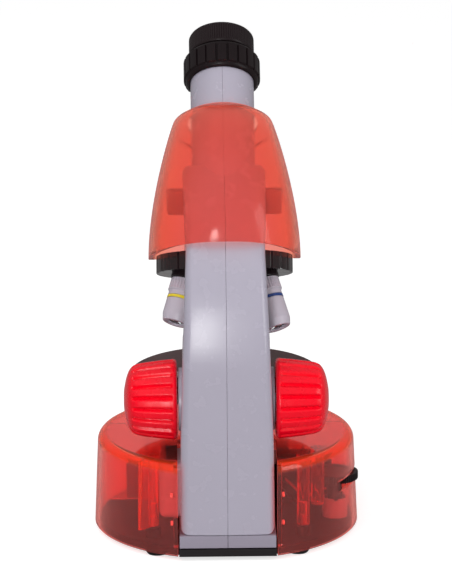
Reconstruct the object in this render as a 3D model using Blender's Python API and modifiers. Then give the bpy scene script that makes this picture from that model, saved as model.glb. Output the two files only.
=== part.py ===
"""Kids microscope: a translucent drum base, a two-part moulded body whose tube leans 45 degrees
towards the user, a rack-and-pinion stage, a tilted three-objective turret and a zoom eyepiece.

Dimensions are in millimetres and the helpers turn them into metres. +Z is up, the user sits on the
-Y side, and the origin is the centre of the base plate's underside. The feet reach below it.
"""

import math

import bmesh
import bpy
from mathutils import Matrix, Vector

MM = 0.001
GAP = 0.3                      # clearance between pieces that touch
UP = Vector((0, 0, 1))

# Base drum
BASE_R = 63.0                  # outer radius at the table
BASE_TOP_R = 61.2              # outer radius under the rounded edge
BASE_H = 44.4
BASE_WALL = 2.0
BASE_EDGE_R = 4.5
PLATE_T = 3.6
PLATE_BACK_Y = 58.9            # flat back edge of the plate, plinth and arm
FOOT_H = 2.0
FOOT_R = 5.2
FEET = ((33.0, 46.5), (-33.0, 46.5), (42.5, -33.0), (-42.5, -33.0))
SHELL_POSTS = ((34.5, 38.0), (-35.4, 38.0), (36.0, -40.0), (-36.0, -40.0))
PARTITION_Y = -12.0

# Body: arm, head block and tube in one moulding, split at X = 0
ARM_BACK_Y = 58.2
ARM_FRONT_Y = 18.0
ARM_BOTTOM_Z = 10.2
ARM_BEND_Z = 89.0              # where the straight back turns into the arc
ARM_BEND_R = 90.0
ARM_BEND_DEG = 70.0
HEAD_FRONT_Y = -33.0
BODY_EDGE_R = 4.0
BODY_WALL = 2.4
EAR_X = 31.5                   # half-width of the foot inside the base
BODY_SCREWS = ((20.0, 146.0), (50.5, 99.5))               # (Y, Z) of the two across the arm

BRACKET_LOW = Vector((-26.8, 4.0, 151.8))                 # black cross bar that carries the hood
BRACKET_HIGH = Vector((26.8, 10.0, 163.4))

# Optical axes
OPTIC_Y = -16.0
TUBE_END = Vector((0, -19.0, 174.7))                     # centre of the tube's lower end
TUBE_DIR = Vector((0, -1, 1)).normalized()
TUBE_R = 15.2
TUBE_BORE_R = 13.2
TUBE_TOP = 51.2                # tube length along its axis
RING_FROM = 39.5
RING_TO = 53.7
RING_R = 18.4
CAP_FROM = 55.0
CAP_TO = 66.0
CAP_R = 15.7
BARREL_R = 12.8
TUBE_LOW = -22.5               # foot of the tube, inside the head block

# Turret, whose underside leans back by the objectives' own half-angle
TURRET_TILT = math.radians(20.0)
TURRET_R = 32.3
TURRET_T = 8.3
TURRET_C = Vector((0, -0.2, 125.2))
TURRET_N = Vector((0, math.sin(TURRET_TILT), -math.cos(TURRET_TILT)))
TURRET_U = Vector((0, -math.cos(TURRET_TILT), -math.sin(TURRET_TILT)))
OBJECTIVE_RING_R = 18.2
FACET_H = 2.7                  # least height of an objective's seat above the turret's face
OBJECTIVES = (("low", 20.7, 0), ("high", 26.7, 120), ("medium", 23.7, 240))
BAND_AT = 11.5                 # colour band along the objective
BAND_T = 1.7

# Focus drive and stage
SHAFT_Y = 33.0
SHAFT_Z = 69.0
SHAFT_R = 2.5
SHAFT_BOSS_R = 14.8
SHAFT_BOSS_X = 22.5
KNOB_IN = 22.9
KNOB_OUT = 47.9
KNOB_R_IN = 18.9
KNOB_R_OUT = 16.6
KNOB_RIBS = 18
PINION_TEETH = 12
MODULE = 1.0
STAGE_R = 45.5
STAGE_TOP_Z = 68.5
STAGE_T = 4.0
STAGE_BACK_Y = 10.0
STAGE_HOLE_R = 7.0

# Thumbwheel that dims the lamp
WHEEL_C = Vector((-51.6, 10.8, 24.5))
WHEEL_R = 11.3
WHEEL_T = 3.6


# ---------------------------------------------------------------- scene and helpers

for old in list(bpy.data.objects):
    bpy.data.objects.remove(old, do_unlink=True)

PARTS = bpy.data.collections.new("kids_microscope")
CUTTERS = bpy.data.collections.new("cutters")
for collection in (PARTS, CUTTERS):
    bpy.context.scene.collection.children.link(collection)


def material(name, colour, roughness, metallic=0.0, alpha=1.0):
    made = bpy.data.materials.new(name)
    made.use_nodes = True
    shader = made.node_tree.nodes["Principled BSDF"]
    shader.inputs["Base Color"].default_value = (*colour, 1.0)
    shader.inputs["Roughness"].default_value = roughness
    shader.inputs["Metallic"].default_value = metallic
    shader.inputs["Alpha"].default_value = alpha
    return made


RED_CLEAR = material("red_clear", (0.66, 0.05, 0.03), 0.12, alpha=0.5)
RED = material("red_plastic", (0.72, 0.0, 0.013), 0.35)
GREY = material("grey_plastic", (0.46, 0.43, 0.49), 0.4)
PALE = material("plinth_grey", (0.32, 0.29, 0.34), 0.5)
BLACK = material("black_plastic", (0.02, 0.014, 0.017), 0.5)
DARK = material("dark_stage", (0.08, 0.055, 0.058), 0.55)
RUBBER = material("black_rubber", (0.015, 0.015, 0.015), 0.8)
STEEL = material("steel", (0.55, 0.55, 0.56), 0.3, metallic=1.0)
GLASS = material("glass", (0.8, 0.85, 0.88), 0.05, alpha=0.35)
MIRROR = material("mirror", (0.9, 0.9, 0.9), 0.02, metallic=1.0)
BOARD = material("board_green", (0.02, 0.12, 0.05), 0.5)
LAMP = material("lamp_white", (0.85, 0.85, 0.8), 0.3)
CELL = material("cell_wrap", (0.05, 0.08, 0.2), 0.35)
YELLOW = material("band_yellow", (0.75, 0.55, 0.03), 0.4)
BLUE = material("band_blue", (0.02, 0.06, 0.25), 0.4)
RED_BAND = material("band_red", (0.6, 0.02, 0.02), 0.4)
WIRE_RED = material("wire_red", (0.6, 0.05, 0.04), 0.5)
WIRE_BLACK = material("wire_black", (0.02, 0.02, 0.02), 0.5)


def metres(point):
    return Vector(point) * MM


def add_object(name, mesh, colour, at=(0, 0, 0), turn=None):
    """Link a mesh object; colour None makes it a hidden cutter."""
    made = bpy.data.objects.new(name, mesh)
    made.location = metres(at)
    if turn is not None:
        made.rotation_mode = "QUATERNION"
        made.rotation_quaternion = turn
    if colour is None:
        CUTTERS.objects.link(made)
        made.hide_render = True
        made.display_type = "WIRE"
    else:
        PARTS.objects.link(made)
        mesh.materials.append(colour)
        mesh.shade_smooth()
        mesh.set_sharp_from_angle(angle=math.radians(35))
    return made


def mesh_from(build, name):
    """A mesh made by a function that fills a bmesh."""
    work = bmesh.new()
    build(work)
    bmesh.ops.recalc_face_normals(work, faces=work.faces)
    mesh = bpy.data.meshes.new(name)
    work.to_mesh(mesh)
    work.free()
    return mesh


def block(name, low, high, colour, bevel=0.0, at=(0, 0, 0), turn=None):
    """Box between two corners, with all edges rounded by bevel."""
    low, high = Vector(low), Vector(high)

    def build(work):
        size = high - low
        place = Matrix.Translation((low + high) / 2 * MM)
        place = place @ Matrix.Diagonal((size.x * MM, size.y * MM, size.z * MM, 1))
        bmesh.ops.create_cube(work, size=1.0, matrix=place)

    made = add_object(name, mesh_from(build, name), colour, at, turn)
    if bevel:
        rounded(made, bevel)
    return made


def corners(first, second):
    """Lowest and highest corner of the box between two corners given in any order."""
    pairs = [sorted(pair) for pair in zip(first, second)]
    return [pair[0] for pair in pairs], [pair[1] for pair in pairs]


def rounded(target, width, segments=2, angle=40):
    edge = target.modifiers.new("rounded", "BEVEL")
    edge.width = width * MM
    edge.segments = segments
    edge.limit_method = "ANGLE"
    edge.angle_limit = math.radians(angle)
    return target


def facing(direction):
    """Rotation that takes +Z to a direction."""
    return UP.rotation_difference(Vector(direction).normalized())


def turned(name, profile, steps, colour, at=(0, 0, 0), axis=(0, 0, 1), ring=False):
    """Turned solid about axis through at. The profile lists (radius, height) down its outer side."""

    def build(work):
        points = [work.verts.new((radius * MM, 0, height * MM)) for radius, height in profile]
        pairs = list(zip(points, points[1:]))
        if ring:
            pairs.append((points[-1], points[0]))
        for first, second in pairs:
            work.edges.new((first, second))

    made = add_object(name, mesh_from(build, name), None, at, facing(axis))
    screw = made.modifiers.new("turned", "SCREW")
    screw.axis = "Z"
    screw.steps = steps
    screw.render_steps = steps
    screw.use_merge_vertices = True
    screw.merge_threshold = 0.00001
    screw.use_smooth_shade = True
    if colour is not None:
        CUTTERS.objects.unlink(made)
        PARTS.objects.link(made)
        made.hide_render = False
        made.display_type = "TEXTURED"
        made.data.materials.append(colour)
    return made


def disc(name, radius, low, high, steps, colour, at=(0, 0, 0), axis=(0, 0, 1)):
    profile = ((0, high), (radius, high), (radius, low), (0, low))
    return turned(name, profile, steps, colour, at, axis)


def washer(name, outer, inner, low, high, steps, colour, at=(0, 0, 0), axis=(0, 0, 1)):
    profile = ((outer, high), (outer, low), (inner, low), (inner, high))
    return turned(name, profile, steps, colour, at, axis, ring=True)


def prism(name, outline, low, high, colour, normal="X"):
    """Outline extruded along X (points are Y, Z) or along Z (points are X, Y)."""

    def build(work):
        ends = []
        for level in (low, high):
            if normal == "X":
                ring = [work.verts.new((level * MM, a * MM, b * MM)) for a, b in outline]
            else:
                ring = [work.verts.new((a * MM, b * MM, level * MM)) for a, b in outline]
            ends.append(ring)
        work.faces.new(ends[0])
        work.faces.new(ends[1])
        count = len(outline)
        for k in range(count):
            after = (k + 1) % count
            work.faces.new((ends[0][k], ends[0][after], ends[1][after], ends[1][k]))

    return add_object(name, mesh_from(build, name), colour)


def boolean(target, tool, operation="DIFFERENCE"):
    step = target.modifiers.new(operation.lower(), "BOOLEAN")
    step.operation = operation
    step.object = tool
    step.solver = "EXACT"
    return target


def cut(target, *tools):
    for tool in tools:
        boolean(target, tool)
    return target


def join(target, *tools):
    for tool in tools:
        boolean(target, tool, "UNION")
    return target


def wire(name, points, radius, colour):
    """A round wire along a smooth curve through the points."""
    data = bpy.data.curves.new(name, "CURVE")
    data.dimensions = "3D"
    data.bevel_depth = radius * MM
    data.bevel_resolution = 2
    data.use_fill_caps = True
    route = smooth_route([Vector(p) for p in points], 3)
    line = data.splines.new("POLY")
    line.points.add(len(route) - 1)
    for slot, place in zip(line.points, route):
        slot.co = (*(place * MM), 1.0)
    made = bpy.data.objects.new(name, data)
    data.materials.append(colour)
    PARTS.objects.link(made)
    return made


def smooth_route(points, parts):
    """Catmull-Rom points through a hand-placed route."""
    ends = [2 * points[0] - points[1]] + points + [2 * points[-1] - points[-2]]
    route = []
    for k in range(1, len(ends) - 2):
        p0, p1, p2, p3 = ends[k - 1:k + 3]
        for step in range(parts):
            t = step / parts
            route.append(0.5 * (2 * p1 + (p2 - p0) * t + (2 * p0 - 5 * p1 + 4 * p2 - p3) * t ** 2
                                + (3 * p1 - p0 - 3 * p2 + p3) * t ** 3))
    return route + [points[-1]]


def pivot(name, at):
    """Empty on a joint's axis."""
    made = bpy.data.objects.new(name, None)
    made.location = metres(at)
    PARTS.objects.link(made)
    return made


def hang_on(parent, *children):
    """Parent pieces to an empty and keep them where they are."""
    for child in children:
        child.parent = parent
        child.matrix_parent_inverse = Matrix.Translation(-parent.location)


def arc(centre, radius, start, end, count):
    """Points on an arc in a plane, angles in degrees."""
    points = []
    for k in range(count + 1):
        angle = math.radians(start + (end - start) * k / count)
        points.append((centre[0] + radius * math.cos(angle), centre[1] + radius * math.sin(angle)))
    return points


def tube_point(along, off=0.0):
    """Point on the tube's axis, moved off towards the back and up."""
    return TUBE_END + TUBE_DIR * along + Vector((0, 1, 1)).normalized() * off


def screw_piece(name, at, axis, length, head_r=2.6, shank_r=1.4, head_t=1.6):
    """Pan-head screw whose head sits outside at and whose shank runs against axis."""
    profile = ((0, head_t), (head_r * 0.7, head_t * 0.9), (head_r, head_t * 0.5), (head_r, 0),
               (shank_r, 0), (shank_r, -length), (0, -length))
    return turned(name, profile, 10, STEEL, at, axis)


# ---------------------------------------------------------------- base

def base_shell():
    """Drum with a rounded top edge, cut at the back for the arm, with posts and a partition."""
    wall = BASE_WALL
    edge = BASE_EDGE_R
    turn_z = BASE_H - edge
    outer = [(0, BASE_H)] + [(BASE_TOP_R - edge + r, turn_z + z) for r, z in
                             arc((0, 0), edge, 90, 0, 4)] + [(BASE_R, 0)]
    inner = [(BASE_R - wall, 0)] + [(BASE_TOP_R - edge + r, turn_z + z) for r, z in
                                    arc((0, 0), edge - wall, 0, 90, 3)] + [(0, BASE_H - wall)]
    shell = turned("base_shell", outer + inner, 48, RED_CLEAR)
    shell_notch = block("shell_notch", (-23.2, ARM_FRONT_Y - 0.4, -5), (23.2, 80, 60), None)
    cut(shell, shell_notch)

    posts = (("post_left", 34.5, 38, 2.6, 9), ("post_right", -35.4, 38, 2.9, 9),
             ("post_side", -42.4, 29, 3.0, 16), ("post_front_left", 36, -40, 2.9, 9),
             ("post_front_right", -36, -40, 2.9, 9))
    for name, x, y, radius, low in posts:
        join(shell, disc(name, radius, low, BASE_H - 1, 14, None, (x, y, 0)))
    rib = ((33.5, 38.5), (40.5, 45.8), (41.4, 44.9), (34.6, 37.6))
    join(shell, prism("post_rib", rib, 9.0, BASE_H - 1, None, "Z"))
    for side in (-1, 1):
        x = 23.2 * side
        span = sorted((x, x + 1.8 * side))
        low, high = (span[0], 50.5, PLATE_T + GAP), (span[1], 58.2, BASE_H - 1)
        join(shell, block(f"flange{side}", low, high, None))
        for z in (11.0, 24.5):
            peg_at = (x + 1.0 * side, 52.6, z)
            join(shell, disc(f"peg{side}_{z}", 1.3, 0, 2.4, 10, None, peg_at, (side, 0, 0)))
    join(shell, block("partition", (-59.2, PARTITION_Y - 0.9, 6), (59.2, PARTITION_Y + 0.9, 39.5), None),
         block("partition_top", (-57.0, PARTITION_Y - 0.9, 30), (57.0, PARTITION_Y + 0.9, 43), None))
    cut(shell, block("bay_opening", (-52.5, PARTITION_Y - 3, 0), (-23.5, PARTITION_Y + 3, 30.0), None))
    cut(shell, disc("window_hole", 9.0, 25, BASE_H + 5, 24, None, (0, OPTIC_Y, 0)))
    slot = washer("wheel_slot", 70, 52, 21.9, 27.1, 48, None)
    keep = block("wheel_slot_span", (-80, -6.5, 20), (-45, 31.0, 29), None)
    boolean(slot, keep, "INTERSECT")
    cut(shell, slot)
    for name, x, y, radius, low in posts[:2] + posts[3:]:
        cut(shell, disc(name + "_hole", 1.35, 0, 20, 8, None, (x, y, 0)))
    return shell


def base_plate():
    """Floor with a flat back edge, bosses under the shell's posts, and a battery opening."""
    inside = BASE_R - BASE_WALL - GAP - 0.1
    plate = disc("base_plate", inside, 0, PLATE_T, 48, BLACK)
    join(plate, block("plate_tongue", (-22.7, 40, 0), (22.7, PLATE_BACK_Y, PLATE_T), None))
    beyond_back = block("beyond_back", (-80, PLATE_BACK_Y, -5), (80, 90, 20), None)
    cut(plate, beyond_back)
    for x, y in SHELL_POSTS:
        join(plate, disc(f"boss_{x}", 3.6, 1, 8.6, 14, None, (x, y, 0)))
        cut(plate, disc(f"boss_hole_{x}", 1.7, -5, 20, 8, None, (x, y, 0)))
        cut(plate, disc(f"boss_sink_{x}", 3.0, -5, 1.9, 12, None, (x, y, 0)))
    cut(plate, block("battery_opening", (-30, -49, -5), (30, -17, 20), None))
    for side in (-1, 1):
        cut(plate, disc(f"arm_screw_hole{side}", 2.0, -5, 20, 10, None, (14 * side, 40, 0)))
        cut(plate, disc(f"arm_screw_sink{side}", 3.2, -5, 1.9, 12, None, (14 * side, 40, 0)))
    return plate


def base():
    base_plate()
    base_shell()
    foot_profile = ((0, -GAP), (FOOT_R, -GAP), (FOOT_R, -1.2), (FOOT_R - 0.8, -FOOT_H), (0, -FOOT_H))
    for k, (x, y) in enumerate(FEET):
        turned(f"foot_{k + 1}", foot_profile, 20, RUBBER, (x, y, 0))
    for k, (x, y) in enumerate(SHELL_POSTS):
        screw_piece(f"base_screw_{k + 1}", (x, y, 1.6), (0, 0, -1), 12.0, 2.5, 1.0)

    plinth = block("plinth", (-22.5, 19, PLATE_T + GAP), (22.5, PLATE_BACK_Y - 0.4, ARM_BOTTOM_Z - GAP),
                   PALE)
    for side in (-1, 1):
        cut(plinth, disc(f"plinth_hole{side}", 1.9, 0, 20, 10, None, (14 * side, 40, 0)))
        screw_piece(f"arm_screw_{'left' if side > 0 else 'right'}", (14 * side, 40, 1.6),
                    (0, 0, -1), 14.0, 2.8, 1.5)


def battery_parts():
    """Tray over the plate's opening with a closed bay at its side, two AA cells, contacts and cover."""
    tray = block("battery_box", (-31.5, -50.5, PLATE_T + GAP), (31.5, -15.5, 21.5), BLACK)
    join(tray, block("bay", (-51.5, -17.3, PLATE_T + GAP), (-24.5, -9.3, 27.0), None),
         block("bay_step", (-51.5, -17.0, 20.0), (-44.5, -9.6, 29.0), None))
    cut(tray, block("tray_room", (-29.5, -48.5, 0), (29.5, -17.5, 19.8), None))
    for k, y in enumerate((-25.2, -40.8)):
        nub = 1 if k == 0 else -1
        profile = ((0, 25.2), (2.6, 25.2), (2.6, 24.2), (6.9, 24.2), (7.2, 23.6), (7.2, -24.6),
                   (6.9, -25.0), (0, -25.0))
        turned(f"battery_cell_{k + 1}", profile, 24, CELL, (0, y, 11.6), (nub, 0, 0))
    for k, x in enumerate((-1, 1)):
        low, high = sorted((x * 28.7, x * 29.1))
        block(f"battery_contact_{k + 1}", (low, -46, 6), (high, -20, 17), STEEL)
    cover = block("battery_cover", (-29.6, -48.6, 0), (29.6, -17.4, 2.2), BLACK)
    for k in range(5):
        x = -12 + 6 * k
        cut(cover, block(f"cover_grip_{k}", (x, -46.5, -1), (x + 2, -38, 0.6), None))
    cut(cover, disc("cover_screw_sink", 2.8, -2, 1.1, 12, None, (0, -21, 0)))
    cut(cover, disc("cover_screw_hole", 1.3, -2, 5, 8, None, (0, -21, 0)))
    screw_piece("cover_screw", (0, -21, 0.8), (0, 0, -1), 1.2, 2.4, 1.0, 0.8)


def lamp_parts():
    """Board on the tray's roof with a tall LED under the clear window."""
    block("lamp_board", (-9, -23, 21.8), (9, -13.2, 23.4), BOARD)
    profile = [(r, 33 + z) for r, z in arc((0, 0), 2.5, 90, 0, 5)] + [(2.5, 25), (3, 25), (3, 23.7),
                                                                    (0, 23.7)]
    turned("lamp_led", profile, 12, LAMP, (0, OPTIC_Y - 2.4, 0))
    rim = [(0, BASE_H + 0.9), (5, BASE_H + 0.8), (8, BASE_H + 0.4), (8.7, BASE_H - 0.2),
           (8.7, BASE_H - 1.8), (0, BASE_H - 1.8)]
    turned("light_window", rim, 32, GLASS, (0, OPTIC_Y, 0))


def dimmer_parts():
    centre = WHEEL_C
    half = WHEEL_T / 2
    wheel_profile = ((0, half), (WHEEL_R - 0.6, half), (WHEEL_R, half - 0.6), (WHEEL_R, 0.6 - half),
                     (WHEEL_R - 0.6, -half), (0, -half))
    wheel = turned("dimmer_wheel", wheel_profile, 32, BLACK, centre)
    hang_on(pivot("dimmer_axis", centre), wheel)
    high = centre.z - half - GAP
    cup = ((0, high), (3.6, high), (3.6, 12.8), (4.8, 12.8), (4.8, 13.6), (5.8, 13.6),
           (5.8, PLATE_T + GAP), (0, PLATE_T + GAP))
    turned("dimmer_body", cup, 24, GREY, (centre.x, centre.y, 0))
    wire("wire_red", ((-29.0, -8.6, 16), (-33, -2, 14), (-38, 4, 11), (-43, 6, 15),
                      (-47.7, 8.1, 16.6)), 0.6, WIRE_RED)
    wire("wire_black", ((-26.0, -8.6, 14), (-30, 4, 12), (-36, 12, 9), (-42, 13.4, 15),
                        (-47.2, 12.6, 16.6)), 0.6, WIRE_BLACK)


# ---------------------------------------------------------------- body

def body_outline():
    """Side view of the arm and head block as (Y, Z), from the foot up the back."""
    bend = arc((ARM_BACK_Y - ARM_BEND_R, ARM_BEND_Z), ARM_BEND_R, 0, ARM_BEND_DEG, 14)
    crest = bend[-1]
    slope = crest[0] - HEAD_FRONT_Y
    under = TURRET_C - TURRET_N * 5.5
    rise = math.tan(TURRET_TILT)
    return [(ARM_BACK_Y, ARM_BOTTOM_Z)] + bend + [
        (HEAD_FRONT_Y, crest[1] - slope),
        (HEAD_FRONT_Y, under.z + (HEAD_FRONT_Y - under.y) * rise),
        (28.0, under.z + (28.0 - under.y) * rise),
        (30.0, 120.0),
        (ARM_FRONT_Y, 98.0),
        (ARM_FRONT_Y, ARM_BOTTOM_Z),
    ]


def half_width(z):
    """Half-width of the body at a height: widest at the foot, narrowest under the hood."""
    stations = ((10, 22.0), (52, 21.6), (89, 20.4), (108, 19.7), (140, 18.3), (176, 19.8))
    for (z0, w0), (z1, w1) in zip(stations, stations[1:]):
        if z <= z1:
            return w0 + (w1 - w0) * max(0.0, (z - z0) / (z1 - z0))
    return stations[-1][1]


def body_core(side):
    """One half of the arm and head block with rounded outer edges and tapering sides."""
    outline = body_outline()
    full = 20.0

    def build(work):
        ends = []
        for level in (GAP / 2, full):
            ends.append([work.verts.new((level * MM, y * MM, z * MM)) for y, z in outline])
        work.faces.new(ends[0])
        outer = work.faces.new(ends[1])
        count = len(outline)
        for k in range(count):
            after = (k + 1) % count
            work.faces.new((ends[0][k], ends[0][after], ends[1][after], ends[1][k]))
        bmesh.ops.recalc_face_normals(work, faces=work.faces)
        rim = list(outer.edges)
        bmesh.ops.bevel(work, geom=rim, offset=BODY_EDGE_R * MM, segments=3, profile=0.5,
                        affect="EDGES", clamp_overlap=True)
        for level in (25, 42, 60, 75, 89, 105, 120, 135, 150, 162):
            bmesh.ops.bisect_plane(work, geom=work.verts[:] + work.edges[:] + work.faces[:],
                                   plane_co=(0, 0, level * MM), plane_no=(0, 0, 1))
        for vert in work.verts:
            vert.co.x *= half_width(vert.co.z / MM) / full
            if side < 0:
                vert.co.x *= -1

    name = "body_left" if side > 0 else "body_right"
    return add_object(name, mesh_from(build, name), GREY)


def relief_tool():
    """Space that the turret and its objectives sweep as they turn."""
    half = TURRET_T / 2
    profile = ((0, half + 0.6), (TURRET_R + 1.3, half + 0.6), (TURRET_R + 1.3, -5.5),
               (39.0, -27.5), (39.0, -35.0), (0, -35.0))
    return turned("turret_room", profile, 36, None, TURRET_C, -TURRET_N)


def body_half(side, relief):
    """Body half: core, foot ear, shaft boss and half tube, then hollowed."""
    core = body_core(side)
    edge = GAP / 2 * side
    if side > 0:
        ear = block("ear", (edge, 22, 16), (EAR_X, 50, 42.4), None)
        rounded(ear, 3.0, 2)
        join(core, ear)
    seam = block(f"seam{side}", *corners((edge, -120, 0), (60 * side, 80, 300)), None)

    tube = disc(f"tube_solid{side}", TUBE_R, TUBE_LOW, TUBE_TOP, 36, None, TUBE_END, TUBE_DIR)
    boolean(tube, seam, "INTERSECT")
    low, high = sorted((19.0 * side, SHAFT_BOSS_X * side))
    boss = disc(f"shaft_boss{side}", SHAFT_BOSS_R, low, high, 32, None, (0, SHAFT_Y, SHAFT_Z),
                (1, 0, 0))
    join(core, tube, boss)

    tube_bore = disc(f"tube_bore{side}", TUBE_BORE_R, 2.0, 80, 36, None, TUBE_END, TUBE_DIR)
    neck_bore = disc(f"neck_bore{side}", 11.0, -20, 3, 24, None, TUBE_END, TUBE_DIR)
    light_path = disc(f"light_path{side}", 8.5, 100, 172, 24, None, (0, OPTIC_Y, 0))
    cut(core, tube_bore, neck_bore, light_path, relief)

    wall = BODY_WALL
    low, high = sorted((0, 17.5 * side))
    cut(core, block(f"arm_room{side}", (low - 0.2, ARM_FRONT_Y + wall, 18),
                    (high + 0.2, ARM_BACK_Y - wall - 0.6, 92.5), None))
    low, high = sorted((-1.0 * side, 8.3 * side))
    cut(core, block(f"carriage_slot{side}", (low, 10, 44.5), (high, ARM_FRONT_Y + 5, 91.6), None))
    cut(core, disc(f"shaft_hole{side}", SHAFT_R + 0.4, -40, 40, 16, None, (0, SHAFT_Y, SHAFT_Z),
                   (1, 0, 0)))
    if side > 0:
        for k, (y, z) in enumerate(BODY_SCREWS):
            cut(core, disc(f"boss_bore_{k}", 1.7, -1, 13.7, 8, None, (0, y, z), (1, 0, 0)))
    else:
        for k, (y, z) in enumerate(BODY_SCREWS):
            cut(core, disc(f"boss_pass_{k}", 1.7, -40, 1, 8, None, (0, y, z), (1, 0, 0)))
            cut(core, disc(f"boss_sink_{k}", 3.1, -40, -15.0, 12, None, (0, y, z), (1, 0, 0)))
    air = Vector((5, GAP, GAP))
    cut(core, block(f"bracket_slot{side}", BRACKET_LOW - air, BRACKET_HIGH + air, None))
    cut(core, disc(f"foot_hole{side}", 1.8, 0, 17.0, 10, None, (14 * side, 40, 0)))
    return core



def body():
    relief = relief_tool()
    for side in (-1, 1):
        body_half(side, relief)
    for k, (y, z) in enumerate(BODY_SCREWS):
        screw_piece(f"body_screw_{k + 1}", (-15.4, y, z), (-1, 0, 0), 26.0, 2.7, 1.4)
    normal = (UP - TUBE_DIR).normalized()
    place = tube_point(-4.2)
    tilt = facing(normal)
    mirror = block("deflection_mirror", (-8, -8, -0.6), (8, 8, 0.6), MIRROR)
    mirror.location = metres(place)
    mirror.rotation_mode = "QUATERNION"
    mirror.rotation_quaternion = tilt
    block("hood_bracket", BRACKET_LOW, BRACKET_HIGH, BLACK, 0.8)


# ---------------------------------------------------------------- hood

def hood_parts():
    """Bullet-shaped translucent hood that closes round the tube, open at both ends."""
    back = (Vector((42.8, 147.0)), Vector((38.0, 172.0)), Vector((16.0, 196.0)), Vector((-15.3, 199.9)))
    front = (Vector((-41.0, 120.5)), Vector((-54.0, 146.0)), Vector((-59.0, 172.0)),
             Vector((-44.2, 170.9)))
    squareness = (2.5, 2.5, 2.2, 2.0)
    width = (35.9, 35.8, 25.6, 24.0)
    droop = (5.2, 5.0, 0.0, 0.0)
    rings = 9
    sides = 32

    def bezier(points, t):
        a, b, c, d = points
        s = 1 - t
        return a * s ** 3 + b * 3 * s * s * t + c * 3 * s * t * t + d * t ** 3

    def build(work):
        rows = []
        for k in range(rings + 1):
            t = math.sin(k / rings * math.pi / 2)
            b = bezier(back, t)
            f = bezier(front, t)
            middle = (b + f) / 2
            reach = (b - f) / 2
            half = bezier(width, t)
            row = []
            power = 2 / bezier(squareness, t)
            for j in range(sides):
                angle = 2 * math.pi * j / sides
                along, across = math.cos(angle), math.sin(angle)
                along = math.copysign(abs(along) ** power, along)
                across = math.copysign(abs(across) ** power, across)
                y = middle.x + reach.x * along
                z = middle.y + reach.y * along - bezier(droop, t) * (1 - along ** 2)
                row.append(work.verts.new((half * across * MM, y * MM, z * MM)))
            rows.append(row)
        for along, radius, half in ((16.9, 19.0, 21.0), (17.7, 16.9, 16.9)):
            row = []
            for j in range(sides):
                angle = 2 * math.pi * j / sides
                place = tube_point(along, radius * math.cos(angle))
                row.append(work.verts.new((half * math.sin(angle) * MM, place.y * MM, place.z * MM)))
            rows.append(row)
        for lower, upper in zip(rows, rows[1:]):
            for j in range(sides):
                after = (j + 1) % sides
                work.faces.new((lower[j], lower[after], upper[after], upper[j]))

    hood = add_object("head_hood", mesh_from(build, "head_hood"), RED_CLEAR)
    skin = hood.modifiers.new("wall", "SOLIDIFY")
    skin.thickness = 1.8 * MM
    skin.offset = -1
    return hood


# ---------------------------------------------------------------- turret and objectives

def turret_parts():
    half = TURRET_T / 2
    axis = pivot("turret_axis", TURRET_C)
    ribs = 30
    outline = []
    for k in range(ribs):
        step = 2 * math.pi / ribs
        for radius, share in ((TURRET_R - 0.9, 0.0), (TURRET_R, 0.2), (TURRET_R, 0.6),
                              (TURRET_R - 0.9, 0.8)):
            angle = step * (k + share)
            outline.append((radius * math.cos(angle), radius * math.sin(angle)))
    turret = prism("turret_disc", outline, -half, half, BLACK, "Z")
    turret.location = metres(TURRET_C)
    turret.rotation_mode = "QUATERNION"
    turret.rotation_quaternion = facing(-TURRET_N)
    pieces = [turret]
    seats = []
    for name, length, degrees in OBJECTIVES:
        radial = Matrix.Rotation(math.radians(degrees), 3, TURRET_N) @ TURRET_U
        aim = TURRET_N * math.cos(TURRET_TILT) + radial * math.sin(TURRET_TILT)
        seat = TURRET_C + radial * OBJECTIVE_RING_R + TURRET_N * half
        seat += aim * (8.0 * math.tan(TURRET_TILT) + FACET_H)
        seats.append((name, length, seat, aim))
        join(turret, disc(f"facet_{name}", 8.6, -9.3, -GAP, 24, None, seat, aim))
    for name, length, seat, aim in seats:
        cut(turret, disc(f"thread_{name}", 6.3, -14.3, 3, 16, None, seat, aim))
        colour = {"low": RED_BAND, "medium": YELLOW, "high": BLUE}[name]
        pieces += objective(name, length, seat, aim, colour)
    cut(turret, disc("turret_pin_hole", 3.3, -10, 10, 16, None, TURRET_C, TURRET_N))
    pieces.append(turned("turret_screw", ((0, half + 3.4), (3.0, half + 2.8), (5.0, half + 1.4),
                                          (5.0, half + GAP), (2.9, half + GAP), (2.9, -half - 0.6),
                                          (0, -half - 0.6)), 20, STEEL, TURRET_C, TURRET_N))
    hang_on(axis, *pieces)


def objective(name, length, seat, aim, band_colour):
    """Barrel in the turret, a colour band in its groove and a front lens."""
    tip = length - 3.2
    groove = 6.9
    band_top = BAND_AT - 3.2
    band_low = band_top + BAND_T
    outer = [(3.6, -6.5), (5.9, -6.5), (5.9, 0), (8.0, 0), (8.0, 5.8), (7.3, 6.2), (7.3, band_top),
             (groove, band_top), (groove, band_low), (7.3, band_low), (7.2, tip - 3.4), (6.2, tip),
             (4.4, tip), (4.4, tip - 1.7), (3.6, tip - 1.7)]
    profile = [(radius, -along) for radius, along in outer]
    barrel = turned(f"objective_{name}", profile, 24, GREY, seat, -aim, ring=True)
    band = washer(f"band_{name}", 7.6, groove + GAP, -band_low + 0.2, -band_top - 0.2, 24,
                  band_colour, seat, -aim)
    lens_at = seat + aim * (tip - 1.7)
    lens = turned(f"lens_{name}", ((0, 1.5), (2.2, 1.3), (4.1, 0.6), (4.1, GAP), (0, GAP)), 16,
                  GLASS, lens_at, aim)
    return [barrel, band, lens]


# ---------------------------------------------------------------- focus drive and stage

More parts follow.
